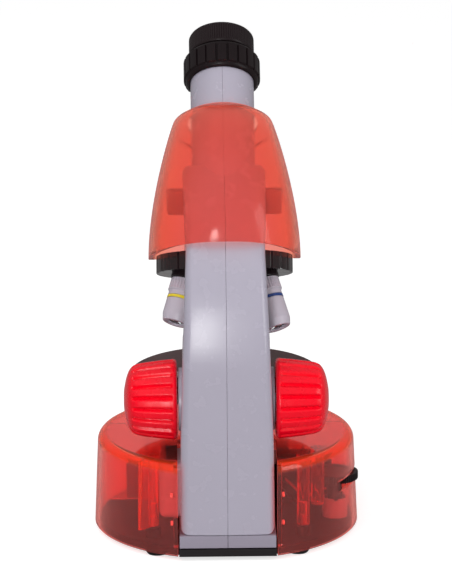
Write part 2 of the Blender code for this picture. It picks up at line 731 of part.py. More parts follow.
def rib_outline(radius, depth, ribs):
    """Round outline with rounded ribs between narrow grooves."""
    points = []
    for k in range(ribs):
        for share, drop in ((0.0, 1.0), (0.2, 0.0), (0.8, 0.0)):
            angle = 2 * math.pi * (k + share) / ribs
            reach = radius - depth * drop
            points.append((reach * math.cos(angle), reach * math.sin(angle)))
    return points


def knob(side):
    """Ribbed conical knob with a domed outer face and a blind bore for the shaft."""
    stations = ((KNOB_IN, KNOB_R_IN - 1.6, 0.4), (KNOB_IN + 1.4, KNOB_R_IN, 1.0),
                (KNOB_OUT - 4.0, KNOB_R_OUT + 0.3, 1.0), (KNOB_OUT - 1.2, KNOB_R_OUT - 2.6, 0.5),
                (KNOB_OUT, KNOB_R_OUT - 7.0, 0.0))

    def build(work):
        rows = []
        for x, radius, depth in stations:
            ring = rib_outline(radius, depth, KNOB_RIBS)
            rows.append([work.verts.new((x * side * MM, (SHAFT_Y + a) * MM, (SHAFT_Z + b) * MM))
                         for a, b in ring])
        count = len(rows[0])
        for inner, outer in zip(rows, rows[1:]):
            for j in range(count):
                after = (j + 1) % count
                work.faces.new((inner[j], inner[after], outer[after], outer[j]))
        work.faces.new(rows[0])
        work.faces.new(rows[-1])

    name = "knob_left" if side > 0 else "knob_right"
    made = add_object(name, mesh_from(build, name), RED)
    bore = disc(f"{name}_bore", SHAFT_R + 0.2, -2, 16.2, 16, None,
                (KNOB_IN * side, SHAFT_Y, SHAFT_Z), (side, 0, 0))
    return cut(made, bore)


def pinion_outline():
    """Narrow trapezoid teeth, thinner than half the pitch so that they run freely in the rack."""
    pitch_r = PINION_TEETH * MODULE / 2
    points = []
    for k in range(PINION_TEETH):
        centre = 2 * math.pi * k / PINION_TEETH
        for radius, half in ((pitch_r - 1.15, 0.95), (pitch_r, 0.55), (pitch_r + 0.6, 0.28)):
            points.append((radius, centre - half / radius))
        for radius, half in ((pitch_r + 0.6, 0.28), (pitch_r, 0.55), (pitch_r - 1.15, 0.95)):
            points.append((radius, centre + half / radius))
    return [(radius * math.cos(angle), radius * math.sin(angle)) for radius, angle in points]


def focus_parts():
    """Shaft through the arm, pinion and two knobs turn together; the stage rides on the rack."""
    axis = pivot("focus_axis", (0, SHAFT_Y, SHAFT_Z))
    reach = KNOB_IN + 15.8
    shaft = disc("focus_shaft", SHAFT_R, -reach, reach, 16, STEEL, (0, SHAFT_Y, SHAFT_Z), (1, 0, 0))
    outline = [(SHAFT_Y - a, SHAFT_Z + b) for a, b in pinion_outline()]
    pinion = prism("focus_pinion", outline, -5.0, 5.0, BLACK)
    cut(pinion, disc("pinion_bore", SHAFT_R + 0.15, -10, 10, 16, None, (0, SHAFT_Y, SHAFT_Z),
                     (1, 0, 0)))
    hang_on(axis, shaft, pinion, knob(1), knob(-1))


def carriage():
    """Plate sliding on the arm's front, a tongue through its slot, and the rack inside."""
    pitch_r = PINION_TEETH * MODULE / 2
    pitch = math.pi * MODULE
    line = SHAFT_Y - pitch_r
    root = line - 1.25
    crest = line + 0.65
    low, high = 50.5, 76.8
    outline = [(11.0, low), (root - 3.0, low), (root, low)]
    for k in range(-7, 4):
        middle = SHAFT_Z + pitch * (k + 0.5)
        if middle - 1.2 < low or middle + 1.2 > high:
            continue
        outline += [(root, middle - 0.95), (crest, middle - 0.3), (crest, middle + 0.3),
                    (root, middle + 0.95)]
    outline += [(root, high), (11.0, high)]
    rack = prism("stage_carriage", outline, -5.0, 5.0, BLACK)
    plate = block("carriage_plate", (-15, 11.0, 50.0), (15, ARM_FRONT_Y - GAP, 79.0), None)
    shelf = block("carriage_shelf", (-15, -4, 59.5), (15, 12, STAGE_TOP_Z - STAGE_T - GAP), None)
    web = block("carriage_web", (-2, -2, 51.5), (2, 12, 62), None)
    return join(rack, plate, shelf, web)


def stage_parts():
    axis = pivot("stage_slide", (0, ARM_FRONT_Y, STAGE_TOP_Z))
    low = STAGE_TOP_Z - STAGE_T
    profile = ((0, STAGE_TOP_Z), (STAGE_R - 0.8, STAGE_TOP_Z), (STAGE_R, STAGE_TOP_Z - 0.8),
               (STAGE_R, low + 0.8), (STAGE_R - 0.8, low), (0, low))
    plate = turned("stage_plate", profile, 48, DARK, (0, OPTIC_Y, 0))
    cut(plate, block("stage_flat", (-80, STAGE_BACK_Y, 50), (80, 80, 80), None),
        disc("stage_hole", STAGE_HOLE_R, 50, 80, 32, None, (0, OPTIC_Y, 0)))
    pieces = [plate, carriage()]
    for side in (-1, 1):
        name = "left" if side > 0 else "right"
        outline = ((26, 3), (20, 3), (19.0, -6), (13.0, -24), (9.5, -30), (13.0, -33),
                   (17.0, -27), (24, -8))
        clip = prism(f"stage_clip_{name}", [(x * side, y) for x, y in outline],
                     STAGE_TOP_Z + GAP, STAGE_TOP_Z + 1.3, STEEL, "Z")
        at = (23 * side, -1, STAGE_TOP_Z + 1.6)
        cut(clip, disc(f"clip_hole_{name}", 1.9, -5, 5, 12, None, at))
        cut(plate, disc(f"clip_thread_{name}", 1.9, -12, 2, 12, None, at))
        post = screw_piece(f"clip_screw_{name}", at, (0, 0, 1), 5.4, 3.2, 1.6)
        pieces += [clip, post]
    hang_on(axis, *pieces)


# ---------------------------------------------------------------- eyepiece

def eyepiece_parts():
    ring_profile = ((RING_R - 0.8, RING_TO), (RING_R, RING_TO - 0.8), (RING_R, RING_FROM + 0.8),
                    (RING_R - 0.8, RING_FROM), (TUBE_R + GAP, RING_FROM),
                    (TUBE_R + GAP, TUBE_TOP + 0.4), (BARREL_R + GAP, TUBE_TOP + 0.4),
                    (BARREL_R + GAP, RING_TO))
    ring = turned("zoom_ring", ring_profile, 36, BLACK, TUBE_END, TUBE_DIR, ring=True)
    hang_on(pivot("zoom_axis", tube_point(RING_FROM)), ring)

    barrel_profile = ((BARREL_R, CAP_FROM - 0.3), (BARREL_R, 22.0), (11.4, 22.0), (11.4, 24.0),
                      (11.0, 24.0), (11.0, CAP_FROM - 0.3))
    barrel = turned("eyepiece_barrel", barrel_profile, 32, BLACK, TUBE_END, TUBE_DIR, ring=True)
    cap_profile = ((CAP_R - 2.4, CAP_TO - 0.3), (CAP_R - 1.0, CAP_TO), (CAP_R, CAP_TO - 1.0),
                   (CAP_R, CAP_FROM + 0.5), (CAP_R - 0.5, CAP_FROM), (8.6, CAP_FROM),
                   (8.6, CAP_TO - 3.6), (10.6, CAP_TO - 3.0))
    cap = turned("eyepiece_cap", cap_profile, 36, BLACK, TUBE_END, TUBE_DIR, ring=True)
    eye_lens = turned("eye_lens", ((0, 61.4), (4, 61.1), (8.2, 59.4), (8.2, 58.8), (4, 57.9),
                                   (0, 57.6)), 24, GLASS, TUBE_END, TUBE_DIR)
    field_lens = turned("field_lens", ((0, 29.4), (5, 29.0), (10.7, 27.0), (10.7, 26.2), (5, 25.4),
                                       (0, 25.2)), 24, GLASS, TUBE_END, TUBE_DIR)
    hang_on(pivot("eyepiece_slide", tube_point(CAP_FROM)), barrel, cap, eye_lens, field_lens)


base()
battery_parts()
lamp_parts()
dimmer_parts()
body()
hood_parts()
turret_parts()
focus_parts()
stage_parts()
eyepiece_parts()
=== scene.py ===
"""Looks for the kids microscope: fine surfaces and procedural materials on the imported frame.

Lengths are millimetres until a helper scales them by MM; bevel and bump sizes too. The floor's size,
the lights and the camera are in metres. +Z is up, the user is on -Y, the photo's camera is on +Y.
"""
import math

import bmesh
import bpy
from mathutils import Matrix, Vector

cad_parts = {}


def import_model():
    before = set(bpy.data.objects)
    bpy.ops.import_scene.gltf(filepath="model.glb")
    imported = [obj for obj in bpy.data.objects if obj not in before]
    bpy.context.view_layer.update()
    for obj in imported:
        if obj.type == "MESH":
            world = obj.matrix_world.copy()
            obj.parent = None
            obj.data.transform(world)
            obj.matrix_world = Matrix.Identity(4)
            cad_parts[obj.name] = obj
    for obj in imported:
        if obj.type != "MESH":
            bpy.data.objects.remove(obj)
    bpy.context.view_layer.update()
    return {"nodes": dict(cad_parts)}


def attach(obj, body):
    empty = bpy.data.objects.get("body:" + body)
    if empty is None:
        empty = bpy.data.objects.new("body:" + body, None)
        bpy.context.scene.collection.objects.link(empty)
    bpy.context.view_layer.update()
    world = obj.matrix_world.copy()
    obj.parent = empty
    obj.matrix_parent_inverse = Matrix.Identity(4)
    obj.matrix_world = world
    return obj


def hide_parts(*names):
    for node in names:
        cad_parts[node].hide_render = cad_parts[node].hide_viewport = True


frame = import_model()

MM = 0.001
UP = Vector((0, 0, 1))

# The CAD model's driving dimensions
BASE_R, BASE_TOP_R, BASE_H, BASE_WALL, BASE_EDGE_R = 63.0, 61.2, 44.4, 2.0, 4.5
PLATE_T, PLATE_BACK_Y = 3.6, 58.9
FOOT_H, FOOT_R = 2.0, 5.2
FEET = ((33.0, 46.5), (-33.0, 46.5), (42.5, -33.0), (-42.5, -33.0))
SHELL_POSTS = ((34.5, 38.0), (-35.4, 38.0), (36.0, -40.0), (-36.0, -40.0))
SCREW_POST_Z, POST_HOLE_R = 9.0, 1.35
FRONT_POSTS = (("d", 36.0, -40.0, 2.9), ("e", -36.0, -40.0, 2.9))    # name, x, y, radius
REAR_POSTS = (("a", 34.5, 38.0, 2.6, SCREW_POST_Z), ("b", -35.4, 38.0, 2.9, SCREW_POST_Z),
              ("c", -42.4, 29.0, 3.0, 16.0))                         # and the height of the foot
PARTITION_Y, PARTITION_HALF_T = -12.0, 0.9
NOTCH_X, FLANGE_T, FLANGE_Y = 23.2, 1.8, (50.5, 58.2)
PEG_X, PEG_Y, PEG_HEIGHTS, PEG_SIZE = 25.1, 52.6, (14.7, 28.3), 1.2
ARM_SCREW_X, ARM_SCREW_Y = 14, 40
ARM_BACK_Y, ARM_FRONT_Y, ARM_BOTTOM_Z = 58.2, 18.0, 10.2
ARM_BEND_Z, ARM_BEND_R, ARM_BEND_DEG = 89.0, 90.0, 70.0
HEAD_FRONT_Y, BODY_EDGE_R, BODY_WALL, EAR_X = -33.0, 4.0, 2.4, 31.5
CORE_X = 20.0             # half width of the body before its sides are tapered
ARM_CROWN = 1.1           # how far the back's edges fall behind its middle
SEAM_X, SEAM_EDGE = 0.05, 0.09
BRACKET_LOW, BRACKET_HIGH = Vector((-26.8, 4.0, 151.8)), Vector((26.8, 10.0, 163.4))
OPTIC_Y = -16.0
TUBE_END = Vector((0, -19.0, 174.7))
TUBE_DIR = Vector((0, -1, 1)).normalized()
TUBE_BACK = Vector((0, 1, 1)).normalized()
TUBE_R, TUBE_BORE_R, TUBE_TOP = 15.2, 13.2, 51.2
RING_FROM, RING_TO, RING_R = 39.5, 53.7, 18.4
CAP_FROM, CAP_TO, CAP_R, BARREL_R, TUBE_LOW = 55.0, 66.0, 15.7, 12.8, -22.5
TURRET_TILT = math.radians(20.0)
TURRET_R, TURRET_T = 32.3, 8.3
TURRET_C = Vector((0, -0.2, 125.2))
TURRET_N = Vector((0, math.sin(TURRET_TILT), -math.cos(TURRET_TILT)))
TURRET_U = Vector((0, -math.cos(TURRET_TILT), -math.sin(TURRET_TILT)))
OBJECTIVE_RING_R = 18.2
OBJECTIVES = (("low", 20.7, 0), ("high", 26.7, 120), ("medium", 23.7, 240))
FACET_H = 2.7
BAND_AT, BAND_T = 11.5, 1.7
SHAFT_Y, SHAFT_Z, SHAFT_R, SHAFT_BOSS_R, SHAFT_BOSS_X = 33.0, 69.0, 2.5, 14.8, 22.5
BODY_SCREWS = ((20.0, 146.0), (50.5, 99.5))
KNOB_IN, KNOB_OUT, KNOB_R_IN, KNOB_R_OUT, KNOB_RIBS = 22.9, 47.9, 18.9, 16.6, 20
STAGE_R, STAGE_TOP_Z, STAGE_T, STAGE_BACK_Y, STAGE_HOLE_R = 45.5, 68.5, 4.0, 10.0, 7.0
CLIP_X, CLIP_Y = 23, -1
WHEEL_C, WHEEL_R, WHEEL_T = Vector((-51.6, 10.8, 24.5)), 11.3, 3.6
WHEEL_SLOT = (21.9, 27.1)

# Grooves around each ribbed piece
WHEEL_TEETH, TURRET_FLUTES, COLLAR_KNURLS, RING_LANDS, CAP_KNURLS = 60, 30, 36, 22, 88


# ---------------------------------------------------------------- materials

def lin(r, g, b):
    """Linear colour from display values of 0 to 255."""
    out = []
    for c in (r, g, b):
        c /= 255
        out.append(c / 12.92 if c <= 0.04045 else ((c + 0.055) / 1.055) ** 2.4)
    return (*out, 1.0)


def scaled(colour, share):
    """The colour made lighter or darker, never over 1."""
    return (*(min(1.0, c * share) for c in colour[:3]), 1.0)


class Nodes:
    """A material's node tree with short calls for the nodes used here."""

    def __init__(self, name):
        self.material = bpy.data.materials.new(name)
        self.material.use_nodes = True
        self.tree = self.material.node_tree
        self.shader = self.tree.nodes["Principled BSDF"]
        self.output = self.tree.nodes["Material Output"]
        self.place = self.tree.nodes.new("ShaderNodeTexCoord").outputs["Object"]

    def new(self, kind, **settings):
        made = self.tree.nodes.new(kind)
        for key, value in settings.items():
            setattr(made, key, value)
        return made

    def link(self, start, end):
        self.tree.links.new(start, end)

    def noise(self, scale, detail=3.0, rough=0.5, stretch=None):
        made = self.new("ShaderNodeTexNoise")
        made.inputs["Scale"].default_value = scale
        made.inputs["Detail"].default_value = detail
        made.inputs["Roughness"].default_value = rough
        where = self.place
        if stretch:
            mapped = self.new("ShaderNodeMapping")
            mapped.inputs["Scale"].default_value = stretch
            self.link(self.place, mapped.inputs["Vector"])
            where = mapped.outputs["Vector"]
        self.link(where, made.inputs["Vector"])
        return made.outputs["Fac"]

    def spread(self, value, low, high, start=0.3, end=0.7):
        """Maps a noise value from start..end to low..high."""
        made = self.new("ShaderNodeMapRange")
        for key, number in zip(("From Min", "From Max", "To Min", "To Max"), (start, end, low, high)):
            made.inputs[key].default_value = number
        self.link(value, made.inputs["Value"])
        return made.outputs["Result"]

    def mix(self, share, first, second):
        """Blends two colours, each a plain colour or another node's output."""
        made = self.new("ShaderNodeMix", data_type="RGBA")
        self.link(share, made.inputs["Factor"])
        for key, colour in (("A", first), ("B", second)):
            if isinstance(colour, bpy.types.NodeSocket):
                self.link(colour, made.inputs[key])
            else:
                made.inputs[key].default_value = colour
        return made.outputs["Result"]

    def blend(self, share, first, second):
        """Blends two shaders."""
        made = self.new("ShaderNodeMixShader")
        for socket, source in zip(made.inputs, (share, first, second)):
            self.link(source, socket)
        return made.outputs["Shader"]

    def bump(self, height, strength, distance):
        made = self.new("ShaderNodeBump")
        made.inputs["Strength"].default_value = strength
        made.inputs["Distance"].default_value = distance * MM
        self.link(height, made.inputs["Height"])
        self.link(made.outputs["Normal"], self.shader.inputs["Normal"])


def seen_directly(tree):
    """Output that is 1 for rays from the camera or through clear plastic, and 0 for all others."""
    path = tree.nodes.new("ShaderNodeLightPath")
    either = tree.nodes.new("ShaderNodeMath")
    either.operation = "MAXIMUM"
    tree.links.new(path.outputs["Is Camera Ray"], either.inputs[0])
    tree.links.new(path.outputs["Is Transmission Ray"], either.inputs[1])
    return either.outputs["Value"]


def plastic(name, colour, rough=(0.35, 0.45), tint=0.06, grain=900, grain_depth=0.02, specular=0.5):
    """Moulded plastic: slight mottling, uneven gloss and a fine moulded grain."""
    n = Nodes(name)
    patch = n.spread(n.noise(60, 4), 0, 1)
    n.link(n.mix(patch, scaled(colour, 1 - tint), scaled(colour, 1 + tint)), n.shader.inputs["Base Color"])
    n.link(n.spread(n.noise(140, 5), *rough), n.shader.inputs["Roughness"])
    n.bump(n.noise(grain, 2), 0.35, grain_depth)
    n.shader.inputs["Specular IOR Level"].default_value = specular
    return n.material


def metal(name, colour, rough=(0.22, 0.36)):
    """Brushed or plated metal."""
    n = Nodes(name)
    streak = n.noise(12, 6, 0.6, (400, 20, 20))
    n.link(n.mix(n.spread(streak, 0, 1), scaled(colour, 0.85), colour), n.shader.inputs["Base Color"])
    n.link(n.spread(streak, *rough), n.shader.inputs["Roughness"])
    n.bump(streak, 0.15, 0.02)
    n.shader.inputs["Metallic"].default_value = 1.0
    return n.material


def clear_red(name, colour, edge, through, rough=(0.03, 0.09), band=None, gloss=0.25,
              veil=(0.90, 0.30, 0.27, 1), veil_from=0.72, ior=1.45):
    """Dyed clear plastic: most light passes, the dye is deeper and hazier at glancing edges.

    band = (low, high, near, far, glow, solid): between those heights and distances from the middle the
    colour turns to glow, a painted edge glow, and the part that passes light falls to solid.
    """
    n = Nodes(name)
    n.shader.inputs["Transmission Weight"].default_value = through
    n.shader.inputs["IOR"].default_value = ior
    n.shader.inputs["Specular IOR Level"].default_value = gloss
    weight = n.new("ShaderNodeLayerWeight")
    weight.inputs["Blend"].default_value = 0.35
    patchy = n.mix(n.spread(n.noise(22, 2), 0, 1), colour, scaled(colour, 1.05))
    look = n.mix(weight.outputs["Facing"], patchy, edge)
    # Painted glow: inside the band the colour turns bright orange and passes less light
    if band:
        low, high, near, far, glow, solid = band
        split = n.new("ShaderNodeSeparateXYZ")
        n.link(n.place, split.inputs[0])
        flat = n.new("ShaderNodeCombineXYZ")
        n.link(split.outputs["X"], flat.inputs["X"])
        n.link(split.outputs["Y"], flat.inputs["Y"])
        away = n.new("ShaderNodeVectorMath", operation="LENGTH")
        n.link(flat.outputs["Vector"], away.inputs[0])
        painted_glow_mask = n.new("ShaderNodeMath", operation="MULTIPLY")
        n.link(n.spread(split.outputs["Z"], 0, 1, low * MM, high * MM), painted_glow_mask.inputs[0])
        n.link(n.spread(away.outputs["Value"], 0, 1, near * MM, far * MM), painted_glow_mask.inputs[1])
        look = n.mix(painted_glow_mask.outputs["Value"], look, glow)
        n.link(n.spread(painted_glow_mask.outputs["Value"], through, solid, 0, 1),
               n.shader.inputs["Transmission Weight"])
    n.link(look, n.shader.inputs["Base Color"])
    n.link(n.spread(n.noise(45, 4), *rough), n.shader.inputs["Roughness"])
    n.bump(n.noise(30, 2), 0.06, 0.3)
    glancing = n.new("ShaderNodeLayerWeight")
    glancing.inputs["Blend"].default_value = 0.5
    haze = n.new("ShaderNodeBsdfDiffuse")
    haze.inputs["Color"].default_value = veil
    rim = n.blend(n.spread(glancing.outputs["Facing"], 0, 0.75, veil_from, 0.97),
                  n.shader.outputs["BSDF"], haze.outputs["BSDF"])
    # Clear pieces cast tinted shadows; a ray crosses both faces of a wall, hence the root
    path = n.new("ShaderNodeLightPath")
    passing = n.new("ShaderNodeBsdfTransparent")
    passing.inputs["Color"].default_value = tuple(math.sqrt(c) for c in colour[:3]) + (1.0,)
    n.link(n.blend(path.outputs["Is Shadow Ray"], rim, passing.outputs["BSDF"]), n.output.inputs["Surface"])
    return n.material


def glass(name, colour):
    """Clear glass with a trace of unevenness in its polish."""
    n = Nodes(name)
    n.shader.inputs["Base Color"].default_value = colour
    n.shader.inputs["Transmission Weight"].default_value = 1.0
    n.shader.inputs["IOR"].default_value = 1.5
    n.link(n.spread(n.noise(60, 3), 0.0, 0.03), n.shader.inputs["Roughness"])
    return n.material


M = {
    # red_clear's band paints a bright orange glow on the drum's rounded top rim
    "red_clear": clear_red("red_clear", (0.89, 0.25, 0.23, 1), (0.93, 0.12, 0.07, 1), 0.96,
                           band=(39.0, 41.0, 56.0, 57.8, (0.98, 0.10, 0.03, 1), 0.72)),
    # Painted glow: a brighter, more orange copy of the drum's clear plastic, with an orange haze
    "red_painted_glow": clear_red("red_painted_glow", (0.96, 0.18, 0.10, 1), (1.0, 0.16, 0.03, 1), 0.82, gloss=0.35,
                          veil=(1.0, 0.17, 0.02, 1), veil_from=0.5),
    "red_milky": clear_red("red_milky", (0.93, 0.36, 0.33, 1), (0.93, 0.30, 0.26, 1), 0.75, (0.1, 0.2)),
    "hood_clear": clear_red("hood_clear", (0.82, 0.275, 0.245, 1), (1.0, 0.26, 0.10, 1), 0.93, (0.1, 0.15),
                            gloss=0.12, ior=1.25),
    "red_plastic": plastic("red_plastic", lin(250, 0, 34), (0.24, 0.30), 0.03, 500, 0.006, 0.32),
    "grey_plastic": plastic("grey_plastic", lin(174, 169, 184), (0.268, 0.276), 0.004, 1500, 0.002, 0.5),
    "objective_grey": plastic("objective_grey", lin(190, 182, 194), (0.3, 0.4), 0.015, 1500, 0.01, 0.4),
    "plinth_grey": plastic("plinth_grey", lin(150, 143, 158), (0.42, 0.55), 0.02, 1200, 0.015, 0.35),
    "black_plastic": plastic("black_plastic", lin(27, 19, 21), (0.28, 0.4), 0.12, 1300, 0.012, 0.14),
    "bar_brown": plastic("bar_brown", lin(164, 104, 94), (0.4, 0.5), 0.05, 900, 0.01, 0.2),
    "black_floor": plastic("black_floor", lin(24, 19, 22), (0.45, 0.6), 0.12, 900, 0.02, 0.25),
    "turret_black": plastic("turret_black", lin(32, 22, 25), (0.12, 0.18), 0.1, 1300, 0.005, 0.45),
    "dark_stage": plastic("dark_stage", lin(89, 72, 73), (0.55, 0.68), 0.06, 1100, 0.03, 0.1),
    # Painted highlight: near-white colour for the pegs, which are part of the red shell
    "peg_painted_highlight": plastic("peg_painted_highlight", lin(255, 236, 238), (0.3, 0.4), 0.02, 500, 0.01, 0.3),
    "cap_black": plastic("cap_black", lin(36, 28, 30), (0.28, 0.4), 0.12, 1300, 0.012, 0.14),
    "red_deep": clear_red("red_deep", (0.30, 0.04, 0.04, 1), (0.30, 0.04, 0.03, 1), 0.3, (0.1, 0.2)),
    "rubber": plastic("rubber", lin(22, 20, 21), (0.7, 0.85), 0.15, 700, 0.05, 0.2),
    "steel": metal("steel", (0.62, 0.62, 0.60, 1)),
    "nickel": metal("nickel", (0.74, 0.73, 0.69, 1), (0.16, 0.3)),
    "glass": glass("glass", (0.86, 0.93, 0.95, 1)),
    "mirror": metal("mirror", (0.92, 0.92, 0.92, 1), (0.01, 0.04)),
    "board": plastic("board", lin(20, 90, 45), (0.3, 0.45), 0.15, 500, 0.03),
    "lamp": plastic("lamp", lin(235, 235, 225), (0.08, 0.16), 0.02, 400, 0.005),
    "cell": plastic("cell", lin(40, 52, 92), (0.2, 0.3), 0.1, 300, 0.01, 0.5),
    "band_yellow": plastic("band_yellow", lin(228, 208, 40), (0.25, 0.4), 0.05, 500, 0.01),
    "band_blue": plastic("band_blue", lin(28, 60, 130), (0.25, 0.4), 0.05, 500, 0.01),
    "band_red": plastic("band_red", lin(190, 24, 28), (0.25, 0.4), 0.05, 500, 0.01),
    "wire_red": plastic("wire_red", lin(190, 30, 28), (0.4, 0.5), 0.05, 500, 0.01),
    "wire_black": plastic("wire_black", lin(20, 20, 20), (0.4, 0.5), 0.05, 500, 0.01),
}


# ---------------------------------------------------------------- mesh helpers

def enlist(obj):
    bpy.context.scene.collection.objects.link(obj)
    return obj


def put(name, work):
    """Makes an object at the origin from a finished bmesh."""
    bmesh.ops.recalc_face_normals(work, faces=work.faces)
    mesh = bpy.data.meshes.new(name)
    work.to_mesh(mesh)
    work.free()
    return enlist(bpy.data.objects.new(name, mesh))


def soft(profile, size, ring=False, count=4):
    """The profile with its corners rounded by about size."""
    points = [Vector(p) for p in profile]
    out = []
    for i, p in enumerate(points):
        if not ring and i in (0, len(points) - 1):
            out.append(tuple(p))
            continue
        before, after = points[i - 1] - p, points[(i + 1) % len(points)] - p
        reach = min(size, before.length * 0.45, after.length * 0.45)
        start, end = p + before.normalized() * reach, p + after.normalized() * reach
        for k in range(count + 1):
            t = k / count
            q = start * (1 - t) ** 2 + p * 2 * t * (1 - t) + end * t * t
            out.append((q.x, q.y))
    return out


def lathe(name, profile, steps, at=(0, 0, 0), axis=(0, 0, 1), ring=False, shape=None):
    """Turned mesh from (radius, height) points; shape(angle, radius, height) may change a radius."""
    turn = UP.rotation_difference(Vector(axis).normalized()).to_matrix()
    at = Vector(at)
    work = bmesh.new()
    rows = []
    for radius, height in profile:
        if radius < 1e-6:
            rows.append([work.verts.new((at + turn @ Vector((0, 0, height))) * MM)])
            continue
        row = []
        for k in range(steps):
            angle = math.tau * k / steps
            r = shape(angle, radius, height) if shape else radius
            spot = Vector((r * math.cos(angle), r * math.sin(angle), height))
            row.append(work.verts.new((at + turn @ spot) * MM))
        rows.append(row)
    pairs = list(zip(rows, rows[1:])) + ([(rows[-1], rows[0])] if ring else [])
    for a, b in pairs:
        for k in range(steps):
            n = (k + 1) % steps
            if len(a) == 1 and len(b) == 1:
                continue
            if len(a) == 1:
                work.faces.new((a[0], b[k], b[n]))
            elif len(b) == 1:
                work.faces.new((a[k], b[0], a[n]))
            else:
                work.faces.new((a[k], b[k], b[n], a[n]))
    return put(name, work)


def disc(name, radius, low, high, steps, at=(0, 0, 0), axis=(0, 0, 1), edge=0.0):
    """Solid disc or rod from height low to high along its axis, its rims rounded by edge."""
    profile = [(0, high), (radius, high), (radius, low), (0, low)]
    return lathe(name, soft(profile, edge) if edge else profile, steps, at, axis)


def box(name, low, high, edge=0.0, segments=3):
    """Block between two opposite corners, its edges bevelled by edge."""
    low, high = Vector(low), Vector(high)
    work = bmesh.new()
    size = high - low
    place = Matrix.Translation((low + high) / 2 * MM)
    place @= Matrix.Diagonal((size.x * MM, size.y * MM, size.z * MM, 1))
    bmesh.ops.create_cube(work, size=1.0, matrix=place)
    if edge:
        bmesh.ops.bevel(work, geom=work.edges[:], offset=edge * MM, segments=segments, profile=0.5,
                        affect="EDGES", clamp_overlap=True)
    return put(name, work)


def corners(first, second):
    """Lowest and highest corner of the block between two points."""
    pairs = [sorted(pair) for pair in zip(first, second)]
    return [pair[0] for pair in pairs], [pair[1] for pair in pairs]


def extrude(work, first, second):
    """Joins two equal rings of points into a closed prism and returns its two end faces."""
    ends = work.faces.new(first), work.faces.new(second)
    for k in range(len(first)):
        n = (k + 1) % len(first)
        work.faces.new((first[k], first[n], second[n], second[k]))
    bmesh.ops.recalc_face_normals(work, faces=work.faces)
    return ends


def prism(name, outline, low, high):
    """Outline of (x, y) points extruded from height low to high."""
    work = bmesh.new()
    extrude(work, *([work.verts.new((x * MM, y * MM, level * MM)) for x, y in outline]
                    for level in (low, high)))
    return put(name, work)


def boolean(target, operation, tool):
    step = target.modifiers.new("step", "BOOLEAN")
    step.operation = operation
    step.object = tool
    step.solver = "EXACT"


def combine(target, cuts=(), joins=()):
    """Applies unions and then cuts, and removes the tools."""
    for operation, tools in (("UNION", joins), ("DIFFERENCE", cuts)):
        for tool in tools:
            boolean(target, operation, tool)
    return settle(target, [*cuts, *joins])


def keep_inside(target, tool):
    """Keeps what lies inside the tool, and removes the tool."""
    boolean(target, "INTERSECT", tool)
    return settle(target, [tool])


def settle(target, tools=()):
    """Applies the modifiers to the mesh and removes the tools."""
    graph = bpy.context.evaluated_depsgraph_get()
    mesh = bpy.data.meshes.new_from_object(target.evaluated_get(graph), depsgraph=graph)
    target.modifiers.clear()
    target.data = mesh
    for tool in tools:
        bpy.data.objects.remove(tool, do_unlink=True)
    return target


def piece(obj, body, look, nodes, angle=32, weighted=True):
    """Smooth shading, material, body and the CAD nodes it stands for."""
    mesh = obj.data
    mesh.materials.clear()
    mesh.materials.append(M[look])
    mesh.shade_smooth()
    mesh.set_sharp_from_angle(angle=math.radians(angle))
    if weighted:
        step = obj.modifiers.new("normals", "WEIGHTED_NORMAL")
        step.keep_sharp = True
    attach(obj, body)
    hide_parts(*nodes)


def arc(centre, radius, start, end, count):
    """Points on an arc between two angles in degrees."""
    points = []
    for k in range(count + 1):
        angle = math.radians(start + (end - start) * k / count)
        points.append((centre[0] + radius * math.cos(angle), centre[1] + radius * math.sin(angle)))
    return points


def tube_point(along, off):
    """Point along the inclined tube, off towards its back."""
    return TUBE_END + TUBE_DIR * along + TUBE_BACK * off


def to_groove(angle, count):
    """Distance to the nearest of count even grooves, as a share of their pitch: 0 to 0.5."""
    u = (angle * count / math.tau) % 1.0
    return min(u, 1 - u)


def smoothstep(t):
    t = max(0.0, min(1.0, t))
    return t * t * (3 - 2 * t)


def ribs(count, groove, depth, low, high, fade):
    """Radius change for rounded ribs with narrow grooves between two heights."""

    def shape(angle, radius, height):
        drop = depth * (1 - smoothstep(to_groove(angle, count) / groove))
        share = smoothstep((height - low) / fade) * smoothstep((high - height) / fade)
        return radius - drop * share

    return shape


# ---------------------------------------------------------------- base

